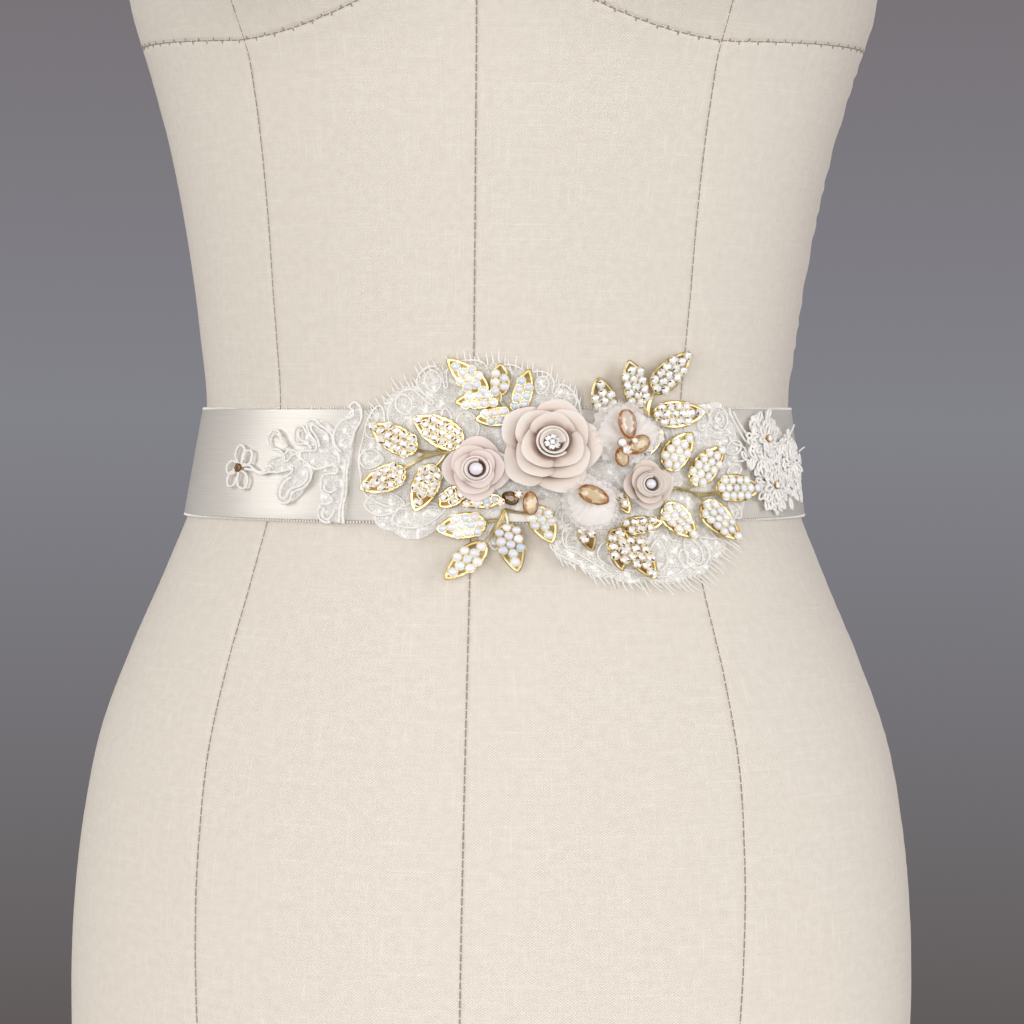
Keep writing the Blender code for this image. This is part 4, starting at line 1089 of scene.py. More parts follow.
def buildRose(name, rose):
    draw = random.Random(name)
    bm = bmesh.new()
    bm.verts.layers.float.new("petalPaintedLight")
    innerLips = [shape.lip for shape in roseRounds[1:]] + [heartShade]
    for level, (count, shape, innerLip) in enumerate(zip(rose.counts, roseRounds, innerLips)):
        for number in range(count):
            bm.from_mesh(petalMesh(rose, shape, innerLip, count, number, level, draw))
    bm.from_mesh(heartMesh(rose))
    bm.from_mesh(budMesh(rose))
    x, y = rose.place
    bmesh.ops.translate(bm, vec=(x, y, petalMake["under"]), verts=bm.verts)
    look = clay(name.replace("_", "") + "Clay", *rose.colours)
    addPiece(name + "_petals", bm, look, [name], sharp=60.0, outward=False)
    stones = facetedMesh()
    look, gem, sharp = gems[rose.gem]
    size = rose.stone
    centre = placing(x, y + rose.lean * rose.scale * 0.88, petalMake["under"] + 9.8 * rose.scale, 20.0)
    spots = [(0, 0, 0)]
    if gem is cutStone:  # a ring of small stones round the middle one
        spots += [(*spot, -0.2) for spot in ringSpots(6, 1.9 * size, 60)]
    for number, spot in enumerate(spots):
        seat = centre @ Matrix.Translation(spot) @ Matrix.Rotation(1.1 * number, 4, "Z")
        stamp(stones, gem, seat @ sized(size, size, size))
    addPiece(name + "_stone", stones, look, sharp=sharp, outward=False)


for name, rose in roses.items():
    buildRose(name, rose)
print("roses made")


# Lace: net sheets, corded scallops, raised thread leaves and eyelash threads

lobeRow = namedtuple("lobeRow", "along up turn length width")
laceMake = {
    "net": 2.2,
    "cord": 2.75,
    "cell": 1.5,
    "fine": 0.24,
    "lash": 0.27,
    "lashStep": 0.45,
    "lashPitch": 1.7,
}
# corners: along, up, and how far the side after each bows out; lashes: the way they lean, and their
# length; lashRange: from and to
laces = {
    "lace_upper": {
        "corners": [
            (-37.9, 3.9, 1), (-35.4, 13.5, 1.2), (-30.5, 20.1, 2.2), (-19.5, 26.7, 2.6), (-8.6, 32.2, 2),
            (3.7, 34, 1.4), (12.9, 32.6, 1), (21.6, 30.6, 1.4), (29.1, 26.7, 1.8), (36.1, 21.3, 0),
            (38.9, 12.5, 0), (34.6, -1.2, 0), (27.2, -11.2, 0), (15.9, -11.6, 0), (12, -17, 0),
            (11, -25, 1.6), (3, -25.5, 0), (0.5, -18.6, 0), (-6.8, -15.6, 1), (-12.4, -23.4, 2.4),
            (-25, -22.8, 2), (-32.8, -16.4, 1), (-35.3, -9.8, 1), (-33.4, -3.6, 1),
        ],
        "flat": (0.078, 0.062),
        "borders": [
            [
                (-37, -4.5), (-38.3, 2), (-37.2, 8.5), (-36.4, 13.5), (-34, 18.6), (-31.7, 19.6),
                (-30.4, 17.2), (-29.6, 13.4), (-28.4, 13.8), (-28.9, 18.8), (-24.8, 24.2), (-20.8, 25.4),
                (-18, 23.6), (-14.3, 20.4), (-13.3, 21.5), (-17.6, 25.2), (-19, 28.4), (-17, 31.9),
                (-13.4, 33.4), (-10.5, 31.4), (-9.5, 26.6), (-8.3, 26.7), (-8.5, 31.8), (-4.9, 35.1),
                (2, 35.4), (5, 32.8), (6.5, 27.8), (7.7, 28.2), (8.6, 33), (13, 34.2), (16.9, 31.8),
                (17.4, 27.5), (18.6, 27.6), (19.3, 31.6), (24, 31.9), (26.8, 29), (26.6, 25), (28, 25),
                (29.6, 27.9), (33.4, 25.6), (35.8, 21), (36, 15),
            ],
            [(-4, 10.6), (-5.2, 14.8), (-3, 17.8), (0.4, 17), (2.4, 13), (1.6, 9.6)],
            [(-8, -14), (-14, -14.2), (-22, -15.2), (-29.5, -13.6), (-35.8, -9.6), (-37, -3)],
        ],
        "lobes": [
            lobeRow(-8.2, -14.6, 195, 17.8, 8.6), lobeRow(-21.5, -13, 184, 13.6, 8),
            lobeRow(-29.5, 1.4, 178, 8.6, 6.6), lobeRow(-30.5, 9, 150, 7, 5),
            lobeRow(-22, 16.6, 112, 7.6, 5.8), lobeRow(-12.6, 24.6, 100, 7.6, 5.6),
            lobeRow(-2.4, 27.6, 88, 6.8, 6.6), lobeRow(10.6, 26.6, 86, 6.6, 4.4),
            lobeRow(22.4, 24.4, 80, 6.2, 4.6), lobeRow(31, 18.6, 64, 6.4, 4.6),
            lobeRow(8.4, -18.8, -94, 9.6, 4.4), lobeRow(-15.5, 14, 40, 7, 3.6),
            lobeRow(-27, -6, 215, 7.4, 4.2), lobeRow(-8.5, 12, 95, 7, 3.4),
        ],
        "lashes": (-0.35, 0.9, 3.3),
        "lashRange": (-35.5, 8, 36, 60),
        "replaces": "fringe_upper",
        "cord": 0.36,
    },
    "lace_lower": {
        "corners": [
            (28.2, -11.6, 0.6), (25.7, -27.7, 1.6), (33.6, -33.7, 1.6), (43.1, -37.6, 1.6),
            (54.4, -38.6, 1.8), (68.5, -37.8, 1.8), (78.2, -32.2, 1.4), (85.9, -26.5, 1.4),
            (91.9, -18.7, 1.2), (98, -11.7, 1), (95.6, -4.6, 1), (97, 1.7, 0.8), (96.6, 8.4, 0.8),
            (96.6, 14.8, 1.8), (92.5, 20.4, 1.8), (85.2, 22, 1), (76.8, 19.2, 0.8), (61.1, 15.5, 0.6),
            (43.1, 14, 0), (39.9, 12.3, 0), (35.6, -1.4, 0),
        ],
        "flat": (0.075, 0.062),
        "borders": [
            [
                (34, -18.6), (30.2, -20.4), (28.9, -23.9), (29.9, -27.6), (33.5, -29.6), (38.4, -33.2),
                (43, -36.4),
            ],
            [(44.4, -24.6), (40.7, -27), (39.5, -30.3), (42, -33.2), (46.7, -34.8), (53.2, -35.4)],
            [
                (53.8, -37), (58.7, -37.6), (64.1, -36.8), (67.1, -34.4), (66, -31), (67.8, -28.4),
                (69.8, -30), (68.8, -33.2), (71.3, -34.8), (75.7, -33), (77.9, -29), (75.4, -24.6),
                (80.2, -24.9), (85.6, -24.6), (89.6, -20.4), (93.5, -15.4),
            ],
            [(85, 10.4), (88, 9.9), (92.4, 10.9), (94.5, 8.3), (99.6, 6.7), (99.8, 2.6), (93.9, 1.9)],
            [(84.6, 17.2), (86.2, 20), (89.4, 20.8), (92.4, 18.8), (92.6, 15.2), (89.6, 12.8), (86.2, 13.8)],
            [(94.3, 20.8), (94.6, 18), (97.4, 13.8), (101.6, 8.3), (103, 9.2), (99.2, 14.6), (96, 19.4)],
            [(86.8, 16.4), (88.8, 18.8), (91, 16.6), (89, 14.9), (87.4, 15.8), (88.4, 17.2)],
            [(28.6, -13), (26.8, -17.2), (26, -22.4), (25, -27.4), (28.4, -30.6), (33.4, -33.2)],
        ],
        "lobes": [
            lobeRow(37, -21, 222, 9, 5.6), lobeRow(48, -27.6, -116, 7.4, 5.4),
            lobeRow(55, -30.2, -96, 6.4, 5.2), lobeRow(60, -25, -98, 10.4, 6.2),
            lobeRow(70.4, -24, -72, 9.8, 6), lobeRow(80, -19.6, -40, 8.6, 5),
            lobeRow(90, -12, -50, 7.4, 4.4), lobeRow(90.6, 5.2, 20, 8.4, 4.6),
            lobeRow(80.5, 12.4, 70, 7.8, 5), lobeRow(72, 8, 96, 9, 5), lobeRow(103.2, 2.6, 48, 6.4, 4.8),
            lobeRow(90.4, -2, 12, 7, 3.6), lobeRow(66.5, 6.8, 120, 7, 4.2),
            lobeRow(33.4, -13.6, 240, 7, 4.2), lobeRow(54.5, -18, -70, 7, 4),
            lobeRow(66.5, -19.5, -100, 6, 3.6),
        ],
        "lashes": (0.9, -0.5, 4.2),
        "lashRange": (25, -60, 90, -18),
        "replaces": "fringe_lower",
        "cord": 0.35,
    },
    "lace_left": {
        "corners": [
            (-75.6, -1.6, 0.8), (-70, 1.8, 0.8), (-60.5, 4, 0), (-59.5, 13, 1), (-55, 14.6, 1),
            (-48.5, 10.5, 0), (-44.6, 15.8, 1.4), (-38.9, 18.4, 0), (-40.8, 9, 0), (-41.8, -20.8, 0),
            (-50.4, -19.6, 0.6), (-51.4, -8, 1), (-47, -3.2, 0), (-55.6, -3, 0.6), (-57.6, -8.6, 0.8),
            (-63, -13.8, 1), (-68.2, -12, 1), (-66.4, -4.2, 0),
        ],
        "flat": (0.042, 0.042),
        "borders": [
            [(-87.2, -1.5), (-83.2, -1.8), (-80.8, -3), (-78, -4), (-75.7, -3.3), (-74, -1.6), (-71.4, -2.7)],
            [
                (-85.6, -3.1), (-81.7, -3.4), (-78.9, -4.3), (-76.4, -4.6), (-73.3, -3.8), (-69.4, -3.9),
                (-64, -2.5),
            ],
            [
                (-66.5, 5.1), (-68.9, 6.6), (-70.6, 9.4), (-73, 10.8), (-75.6, 9.3), (-75.9, 6.5),
                (-73.5, 4.3), (-70.1, 3.8), (-67.6, 2.4), (-65.6, 4), (-61.2, 3),
            ],
            [(-67.2, 4.4), (-69.6, 7.6), (-71.9, 9.4), (-74.4, 8.4)],
            [
                (-56.3, 4.5), (-58.3, 6), (-63, 6.3), (-64.3, 8.7), (-63.9, 11.5), (-61.1, 12.2),
                (-59.1, 10), (-56.5, 8.1), (-55.4, 5.4),
            ],
            [(-57.6, 6.6), (-61.4, 7.6), (-62.4, 10.4), (-60.6, 10.6)],
            [
                (-45.4, -0.5), (-45.6, 2.3), (-48.1, 5.8), (-48.8, 9), (-50.7, 10.9), (-53.5, 12.5),
                (-55.5, 14.2), (-57.8, 14.6), (-59.5, 13), (-58.1, 10), (-55.1, 6.9), (-54.8, 4.1),
                (-60.5, 3.6), (-60.5, 1.2), (-57.7, -0.3), (-54.2, -2.3), (-51.1, -1.8), (-48, -0.9),
                (-46.2, -1.7),
            ],
            [(-50, 6.6), (-50.8, 9.4), (-54.6, 11.6), (-56.8, 12.8), (-57.6, 11.4), (-54.6, 8.2), (-53.2, 5)],
            [(-75.3, -2.8), (-74.7, -0.4), (-71.2, 1.3), (-68, 1.8), (-66.8, -0.2), (-63, 2.6), (-60, 0.6)],
            [
                (-59, -0.8), (-56, -2.3), (-55.6, -5.5), (-57.9, -8.7), (-62.3, -10.8), (-63.2, -13.7),
                (-66, -14.4), (-68.6, -12.7), (-69, -9.4), (-67.6, -6.2), (-64.4, -4.5), (-63.4, -2.5),
                (-65.8, -1.7),
            ],
            [
                (-57.3, -3.1), (-57, -5.9), (-59.4, -8.2), (-63.5, -9.7), (-64.9, -12.5), (-66.9, -12.6),
                (-67.4, -9.8), (-65.9, -6.9), (-63.3, -5.3),
            ],
            [
                (-45.7, -1.7), (-46, -3.6), (-49, -3.9), (-51, -4.6), (-51.6, -7), (-50.7, -10.1),
                (-48.1, -11.2), (-46.6, -12.8), (-48.1, -14.2), (-50.7, -14.3), (-51.6, -16.5),
                (-50.7, -19.3), (-48.6, -20.6), (-46.6, -20.4),
            ],
            [(-49.4, -6), (-50, -9), (-47.4, -10.2), (-45.2, -8.6)],
            [(-49.2, -15.4), (-50, -17.8), (-47.6, -19.6), (-45.4, -16)],
            [(-41.7, 2), (-42.1, -4), (-41.9, -9.9), (-42.5, -15), (-42.1, -20.6)],
            [(-42.9, 0.4), (-43, -5.2), (-43, -10.7), (-43.6, -15.9), (-43.6, -20.6)],
            [
                (-44.6, 15.8), (-42, 15.8), (-41.6, 17.8), (-43.3, 19.3), (-41.2, 20.9), (-39, 18.6),
                (-38.5, 14.7), (-40.5, 10.7), (-40.8, 8.7), (-41.9, 4.7),
            ],
            [(-44.9, 3.5), (-47.2, 5.8), (-48.3, 9), (-47.6, 12.2), (-45.4, 14.6), (-42, 15.4)],
        ],
        "lobes": [
            lobeRow(-88.4, -1.6, 103, 7, 5.2), lobeRow(-87.6, -2, 50, 6.6, 5),
            lobeRow(-89.4, -2.6, 184, 6.8, 4.8), lobeRow(-89.2, -3.6, 229, 7.2, 5),
            lobeRow(-88.1, -3.8, 301, 7, 5.2),
        ],
        "cord": 0.46,
    },
    "lace_right": {
        "corners": [
            (99, 4, 0.6), (107, 12, 1.4), (112, 16, 1.4), (120, 15, 1.4), (128, 10.6, 1.2), (137, 8, 1.4),
            (141.5, -1, 1.4), (139, -9.6, 1.4), (129, -8.4, 1.2), (120.6, -13.4, 1.4), (113.4, -10, 1),
            (108, -3, 0.6),
        ],
        "flat": (0.044, 0.030),
        "borders": [
            [(106.4, -8.4), (108.6, -11), (112, -14), (115.2, -17)],
            [(107.4, -8), (110, -11.4), (113.4, -14.6), (116, -16.4)],
        ],
        "lobes": [lobeRow(101.4, 4.4, 10, 6, 5.2)],
        "raised": True, "cord": 0.4,
    },
}


def outlineOf(corners, steps=10):
    # the sides of an outline, each bowed outward by its bulge
    table = np.array(corners, float)
    spots, bulges = table[:, :2], table[:, 2]
    ahead = np.roll(spots, -1, axis=0)
    area = np.sum(spots[:, 0] * ahead[:, 1] - ahead[:, 0] * spots[:, 1])
    runs = ahead - spots
    outward = np.stack([runs[:, 1], -runs[:, 0]], axis=1) * np.sign(area)
    outward /= np.linalg.norm(outward, axis=1)[:, None]
    share = np.linspace(0, 1, steps, endpoint=False)[:, None]
    bow = 4 * share * (1 - share)
    sides = zip(spots, ahead, bulges, outward)
    return np.vstack([a + (b - a) * share + bow * bulge * way for a, b, bulge, way in sides])


def insideOutline(spots, line):
    x, y = spots[:, :1], spots[:, 1:2]
    ahead = np.roll(line, -1, axis=0)
    rise = np.where(ahead[:, 1] == line[:, 1], 1e-9, ahead[:, 1] - line[:, 1])
    crossing = (line[:, 1] > y) != (ahead[:, 1] > y)
    at = line[:, 0] + (y - line[:, 1]) / rise * (ahead[:, 0] - line[:, 0])
    return (crossing & (x < at)).sum(axis=1) % 2 == 1


def realArea(bm):
    # in square metres
    return sum(face.calc_area() for face in bm.faces) * mm * mm


def addLace(name, source, replaces=()):
    return addPiece(name, source, laceCord, replaces)


def netSheet(name, lace):
    # a net cut to the outline: a grid whose edge is drawn onto the outline
    line = smoothLine(outlineOf(lace["corners"]), 0.5, closed=True)[:, :2]
    low, high = line.min(axis=0), line.max(axis=0)
    count = np.ceil((high - low) / laceMake["cell"]).astype(int)
    bm = bmesh.new()
    bmesh.ops.create_grid(bm, x_segments=count[0], y_segments=count[1], size=0.5)
    for vert in bm.verts:
        vert.co.xy = low + (high - low) * (np.array(vert.co.xy) + 0.5)
    centres = np.array([face.calc_center_median()[:2] for face in bm.faces])
    outside = [face for face, within in zip(bm.faces, insideOutline(centres, line)) if not within]
    bmesh.ops.delete(bm, geom=outside, context="FACES")
    for vert in bm.verts:
        if vert.is_boundary:
            vert.co.xy = line[np.argmin(np.linalg.norm(line - np.array(vert.co.xy), axis=1))]
        vert.co.z = laceMake["net"] + 0.16 * math.sin(0.7 * vert.co.x) * math.sin(0.6 * vert.co.y + 1)
    bmesh.ops.remove_doubles(bm, verts=bm.verts, dist=0.02)
    area = realArea(bm)
    return addPiece(name + "_net", bm, laceNet, [name]), area


def lobePoint(lobe, share, across):
    # a long round-ended leaf: share runs from its base to its tip
    share = np.asarray(share, float)
    half = lobe.width / 2 * np.sin(math.pi * share**1.18) ** 0.6
    return np.stack([share * lobe.length, half * across], axis=-1)


def lobeLine(lobe, scale=1.0, height=0.0, step=0.55):
    around = np.linspace(0, 2 * math.pi, 26, endpoint=False)
    flat = lobePoint(lobe, (1 - np.cos(around)) / 2, np.sign(np.sin(around)))
    middle = np.array([lobe.length * 0.52, 0.0])
    flat = middle + (flat - middle) * scale
    line = smoothLine(turned(flat, lobe.along, lobe.up, lobe.turn), step, closed=True)
    line[:, 2] = height
    return line


def knotted(line, draw, amount=0.16):
    # gives a cord the uneven thickness of wrapped thread
    count = np.arange(len(line))
    swell = 1 + amount * np.sin(count * draw.uniform(1.1, 1.6)) + amount * 0.6 * np.sin(count * 0.37)
    return np.column_stack([line, swell])


def threadLeaf(lobe, base):
    # a leaf filled with thread: ridges run across it, and it swells a little in the middle
    ridges = max(int(lobe.length / 0.85), 5)
    leaf = bmesh.new()
    bmesh.ops.create_grid(leaf, x_segments=ridges * 3, y_segments=5, size=1.0)
    for vert in leaf.verts:
        share, across = (vert.co.x + 1) / 2, vert.co.y
        x, y = lobePoint(lobe, share, across * 0.96)
        ridge = 0.13 * math.sin(2 * math.pi * ridges * share + 2.2 * abs(across))
        vert.co = Vector((x, y, base + 0.5 * (1 - across**2) * math.sin(math.pi * share) ** 0.5 + ridge))
    return meshOf(leaf, outward=False)


def lashLines(lace, draw):
    # eyelash threads: tapered, leaning one way, from the scallops outwards
    line = smoothLine(outlineOf(lace["corners"]), laceMake["lashStep"], closed=True)
    lowX, lowY, highX, highY = lace["lashRange"]
    *lean, length = lace["lashes"]
    found, since = [], 9.0
    centre = line.mean(axis=0)
    for spot in line:
        since += laceMake["lashStep"]
        inRange = lowX < spot[0] < highX and lowY < spot[1] < highY
        if inRange and since > laceMake["lashPitch"] * draw.uniform(0.65, 1.25):
            outward = (spot - centre) / np.linalg.norm(spot - centre)
            way = 0.5 * outward[:2] + 0.8 * np.array(lean) + draw.uniform(-0.22, 0.22)
            reach = length * draw.uniform(0.55, 1.25)
            side = np.array([-way[1], way[0]]) * draw.uniform(-0.18, 0.18)
            foot = spot[:2]
            middle = foot + way * reach * 0.5 + side * reach * 0.4
            strand = smoothLine([foot - 0.5 * way, middle, foot + way * reach], 0.8)
            strand[:, 2] = laceMake["cord"] + 0.1 + draw.uniform(-0.5, 0.4) * np.linspace(0, 1, len(strand))
            found.append(np.column_stack([strand, np.linspace(1.2, 0.6, len(strand))]))
            since = 0.0
    return found


def borderLine(points):
    line = smoothLine(points, 0.55)
    line[:, 2] = laceMake["cord"] + 0.2 + 0.15 * np.sin(np.arange(len(line)) * 0.23)
    return line


def buildLace(name, lace):
    draw = random.Random(name)
    net, area = netSheet(name, lace)
    raised = lace.get("raised", False)  # a filled leaf, with a fine cord inside its outline
    borders = [knotted(borderLine(points), draw) for points in lace["borders"]]
    outlines = [knotted(lobeLine(lobe, 1.0, laceMake["cord"] + 0.1), draw) for lobe in lace["lobes"]]
    cords = tubes(outlines, lace["cord"], closed=True)
    if raised:
        fine = [knotted(lobeLine(lobe, 0.72, laceMake["cord"] + 0.35), draw) for lobe in lace["lobes"]]
        cords.from_mesh(meshOf(tubes(fine, laceMake["fine"], closed=True)))
        leaves = bmesh.new()
        for lobe in lace["lobes"]:
            here = placing(lobe.along, lobe.up, 0.0, lobe.turn)
            stamp(leaves, threadLeaf(lobe, laceMake["net"] + 0.35), here)
        addLace(name + "_leaves", leaves)
    cords.from_mesh(meshOf(tubes(borders, lace["cord"])))
    addLace(name + "_cords", cords)
    if "lashes" in lace:
        fringe = tubes(lashLines(lace, draw), laceMake["lash"])
        addLace(name + "_lashes", fringe, [lace["replaces"]])


for name, lace in laces.items():
    buildLace(name, lace)
print("lace made")


# The raised flowers of thread loops at the right

blossomRow = namedtuple("blossomRow", "place reach stone")
blossoms = {
    "blossom_top": blossomRow((108.6, 9.4), 8.0, (109.6, 9.6)),
    "blossom_low": blossomRow((111.0, -7.0), 8.2, (111.0, -6.8)),
    "blossom_side": blossomRow((125.8, 1.3), 9.4, None),
}
loopMake = {
    "length": 4.6,
    "width": 1.9,
    "radius": 0.5,
    "rings": [(0.5, 20, 3.4), (0.28, 15, 4.6), (0.08, 9, 5.6)],  # share of the reach, loops, height
}
loopBed = {"count": 135, "width": 1.7, "radius": 0.46, "strayRadius": 0.3}
strayThreads = [
    [(127.0, 9.0, 4.0), (129.6, 11.6, 4.6), (133.0, 14.6, 5.2)],
    [(139.0, 5.0, 4.0), (141.6, 6.0, 4.8), (144.4, 6.4, 5.2)],
]


def threadLoop(x, y, z, turn, length, width, rise):
    line = lobeLine(lobeRow(x, y, turn, length, width), step=1.0)
    line[:, 2] = z + rise * np.hypot(line[:, 0] - x, line[:, 1] - y) / length
    return line


def buildBlossom(name, blossom):
    draw = random.Random(name)
    x, y = blossom.place
    lines = []
    for share, count, height in loopMake["rings"]:
        start = blossom.reach * share
        for number in range(count):
            turn = 360 * number / count + draw.uniform(-12, 12)
            length = loopMake["length"] * draw.uniform(0.85, 1.15)
            z = height + draw.uniform(-0.3, 0.3)
            twist, rise = draw.uniform(-18, 18), draw.uniform(-0.5, 1.2)
            foot = (x + start * math.cos(math.radians(turn)), y + start * math.sin(math.radians(turn)))
            lines.append(threadLoop(*foot, z, turn + twist, length, loopMake["width"], rise))
    addLace(name + "_loops", tubes(lines, loopMake["radius"], closed=True), [name])


def buildLoopBed():
    # smaller loops that fill the ground between the flowers
    draw = random.Random("bed")
    line = outlineOf(laces["lace_right"]["corners"])
    (lowX, lowY), (highX, highY) = line.min(axis=0), line.max(axis=0)
    lines = []
    while len(lines) < loopBed["count"]:
        x, y = draw.uniform(lowX, highX), draw.uniform(lowY, highY)
        if insideOutline(np.array([[x, y]]), line)[0]:
            turn = draw.choice((90, 270)) + draw.uniform(-40, 40)
            z, length, rise = draw.uniform(3.0, 4.4), draw.uniform(3.4, 4.8), draw.uniform(-0.3, 0.8)
            lines.append(threadLoop(x - 3.0, y, z, turn, length, loopBed["width"], rise))
    bm = tubes(lines, loopBed["radius"], closed=True)
    stray = [smoothLine(points, 0.8) for points in strayThreads]
    bm.from_mesh(meshOf(tubes(stray, loopBed["strayRadius"])))
    addLace("lace_right_loops", bm)


for name, blossom in blossoms.items():
    buildBlossom(name, blossom)
buildLoopBed()
print("flowers made")


# Organza petals and glass drops

petalRow = namedtuple("petalRow", "place heart reaches")
organza = {
    "organza_top": petalRow((50.4, 10.6), (1.6, -2.0), [12.6, 9.4, 11.6, 12.0, 11.0, 11.4, 9.8, 8.6]),
    "organza_low": petalRow((38.2, -12.4), (0.6, 1.6), [8.2, 8.6, 9.2, 9.6, 9.2, 9.8, 10.0, 8.8]),
}
organzaMake = {
    "under": 6.3,
    "around": 120,
    "out": 9,
    "layers": [(1.0, 0.0, 0.0), (0.84, 1.5, 0.5)],  # size, height above the lace, turn
    "fibres": 460,
    "fibre": 0.07,
    "gather": 1.06,
}
dropRow = namedtuple("dropRow", "kind along up height turn length width")
drops = {
    "drop_top": dropRow("champagne", 49.6, 14.0, 11.0, -84.0, 10.2, 6.2),
    "drop_side": dropRow("amber", 53.0, 7.0, 10.7, 215.0, 8.6, 5.8),
    "drop_low": dropRow("amber", 47.4, 2.9, 10.5, 100.0, 6.6, 4.7),
    "drop_organza": dropRow("amber", 38.0, -9.9, 10.7, -25.0, 10.2, 6.2),
    "drop_dark": dropRow("brown", 12.6, -11.0, 7.3, 150.0, 5.6, 4.6),
    "drop_amber": dropRow("amber", 18.8, -12.6, 8.2, 90.0, 8.2, 5.0),
}
dropDeep = 0.42  # a drop's depth to its width
dropRings = [  # scale, height to the depth, points, turn, tint at the rim
    (1.0, 0.0, 16, 0.0, 0.8), (0.86, 0.27, 10, 0.2, 0.35), (0.64, 0.46, 8, 0.0, 0.1), (0.4, 0.55, 7, 0.3, 0.0),
    (0.5, -0.55, 9, 0.17, 0.4),
]


def organzaLayer(petal, size, height, turn, draw):
    # a gathered petal: pleats run out from its heart, and its singed edge is uneven
    bm = bmesh.new()
    bmesh.ops.create_grid(bm, x_segments=organzaMake["around"], y_segments=organzaMake["out"], size=0.5)
    outward = bm.verts.layers.float.new("petalOut")
    edge, fine, fold, crease = (draw.uniform(0, 6.28) for _ in range(4))
    (x0, y0), (heartX, heartY) = petal.place, petal.heart
    sectors = len(petal.reaches)
    for vert in bm.verts:
        angle = (vert.co.x + 0.5) * 2 * math.pi
        out = 0.06 + 0.94 * (vert.co.y + 0.5)
        spot = (angle + turn) / (2 * math.pi) * sectors % sectors
        here, there = int(spot) % sectors, (int(spot) + 1) % sectors
        reach = petal.reaches[here] * (1 - spot % 1) + petal.reaches[there] * (spot % 1)
        ragged = 0.05 * math.sin(5 * angle + edge) + 0.035 * math.sin(23 * angle + fine)
        reach *= size * (1 + out**4 * ragged)
        pleat = 0.42 * math.sin(7 * angle + fold + 1.3 * math.sin(2 * angle))
        pleat += 0.14 * math.sin(13 * angle + crease)
        x = heartX * (1 - out) + out * reach * math.cos(angle + turn)
        y = heartY * (1 - out) + out * reach * math.sin(angle + turn)
        z = height + 1.3 * out**1.5 + pleat * out * 1.1 + 0.9 * (1 - out) ** 2
        vert.co = Vector((x0 + x, y0 + y, z))
        vert[outward] = out
    bmesh.ops.remove_doubles(bm, verts=bm.verts, dist=1e-3)
    return bm


def edgeFibres(bm, draw):
    # loose singed threads that stand out from a petal's edge
    rim = [vert.co.copy() for vert in bm.verts if vert.is_boundary]
    centre = sum(rim, Vector()) / len(rim)
    fibres = []
    for _ in range(organzaMake["fibres"]):
        spot = draw.choice(rim)
        stray = Vector((draw.uniform(-0.7, 0.7), draw.uniform(-0.7, 0.7), draw.uniform(-0.5, 0.5)))
        if (spot - centre).length > 3.0:
            tip = spot + ((spot - centre).normalized() + stray) * draw.uniform(0.4, 1.9)
            fibres.append(np.array([[*spot, 1.0], [*tip, 0.3]]))
    return tubes(fibres, organzaMake["fibre"], sides=4)


def buildOrganza(name, petal):
    draw = random.Random(name)
    for number, (size, height, turn) in enumerate(organzaMake["layers"]):
        bm = organzaLayer(petal, size, organzaMake["under"] + height, turn, draw)
        fibres = edgeFibres(bm, draw)
        area = realArea(bm)
        sheet = addPiece(f"{name}_layer_{number}", bm, organzaCloth, [name] if number == 0 else [])
        fuzz = addPiece(f"{name}_fibres_{number}", fibres, organzaCloth)


def pearRing(row, scale, height, count, turn=0.0):
    # a pear outline, round at -x and pointed at +x
    points = []
    for number in range(count):
        angle = 2 * math.pi * number / count + turn
        share = (1 - math.cos(angle)) / 2
        half = row.width * share**0.46 * (1 - share) ** 0.56
        x = (share - 0.5) * row.length * scale - 0.4 * (1 - scale)
        points.append((x, math.copysign(half, math.sin(angle)) * scale, height))
    return points


def buildDrop(name, row):
    # a pear-cut drop: girdle, crown facets, table and a shallow back, as one convex hull
    bm = bmesh.new()
    rim = bm.verts.layers.float.new("rim")
    for scale, height, count, turn, tint in dropRings:
        for point in pearRing(row, scale, height * row.width * dropDeep, count, turn):
            bm.verts.new(point)[rim] = tint
    bmesh.ops.convex_hull(bm, input=bm.verts)
    paintFacetReflections(bm)
    bmesh.ops.transform(bm, matrix=placing(row.along, row.up, row.height, row.turn), verts=bm.verts)
    addPiece(name + "_glass", bm, glassKinds[row.kind], [name], sharp=2.0)


for name, petal in organza.items():
    buildOrganza(name, petal)
for name, row in drops.items():
    buildDrop(name, row)


# The small stones between the drops, and the rhinestones of the two appliques

settingRow = namedtuple("settingRow", "kind along up height radius")
clusterSettings = [
    settingRow("milk", 47.4, 7.7, 11.6, 1.45),
    settingRow("clear", 48.7, 5.3, 12.0, 1.55),
    settingRow("milk", 51.5, 8.3, 11.8, 1.0),
    *(settingRow("milk", along, -13.2, 5.0, 1.25) for along in (-1.0, 2.0, 5.4)),
    *(settingRow("clear", *spot, 8.6, 1.15) for spot in ((15.2, -9.6), (9.6, -12.2))),
    *(settingRow("clear", *blossom.stone, 7.0, 1.3) for blossom in blossoms.values() if blossom.stone),
]
leftSettings = [settingRow("topaz", -88.4, -2.8, 4.0, 1.4)]


def setStone(stones, cast, row):
    # a single stone in a claw setting
    size = row.radius
    stamp(stones, gems[row.kind][1], placing(row.along, row.up, row.height, 17.0) @ sized(size, size, size))
    stamp(cast, cup, placing(row.along, row.up, row.height - 0.45) @ sized(size, size, 1.0))
    for x, y in ringSpots(6, 1.08 * size):
        stamp(cast, tinyBead, placing(row.along + x, row.up + y, row.height + 0.1) @ sized(0.24, 0.24, 0.4))


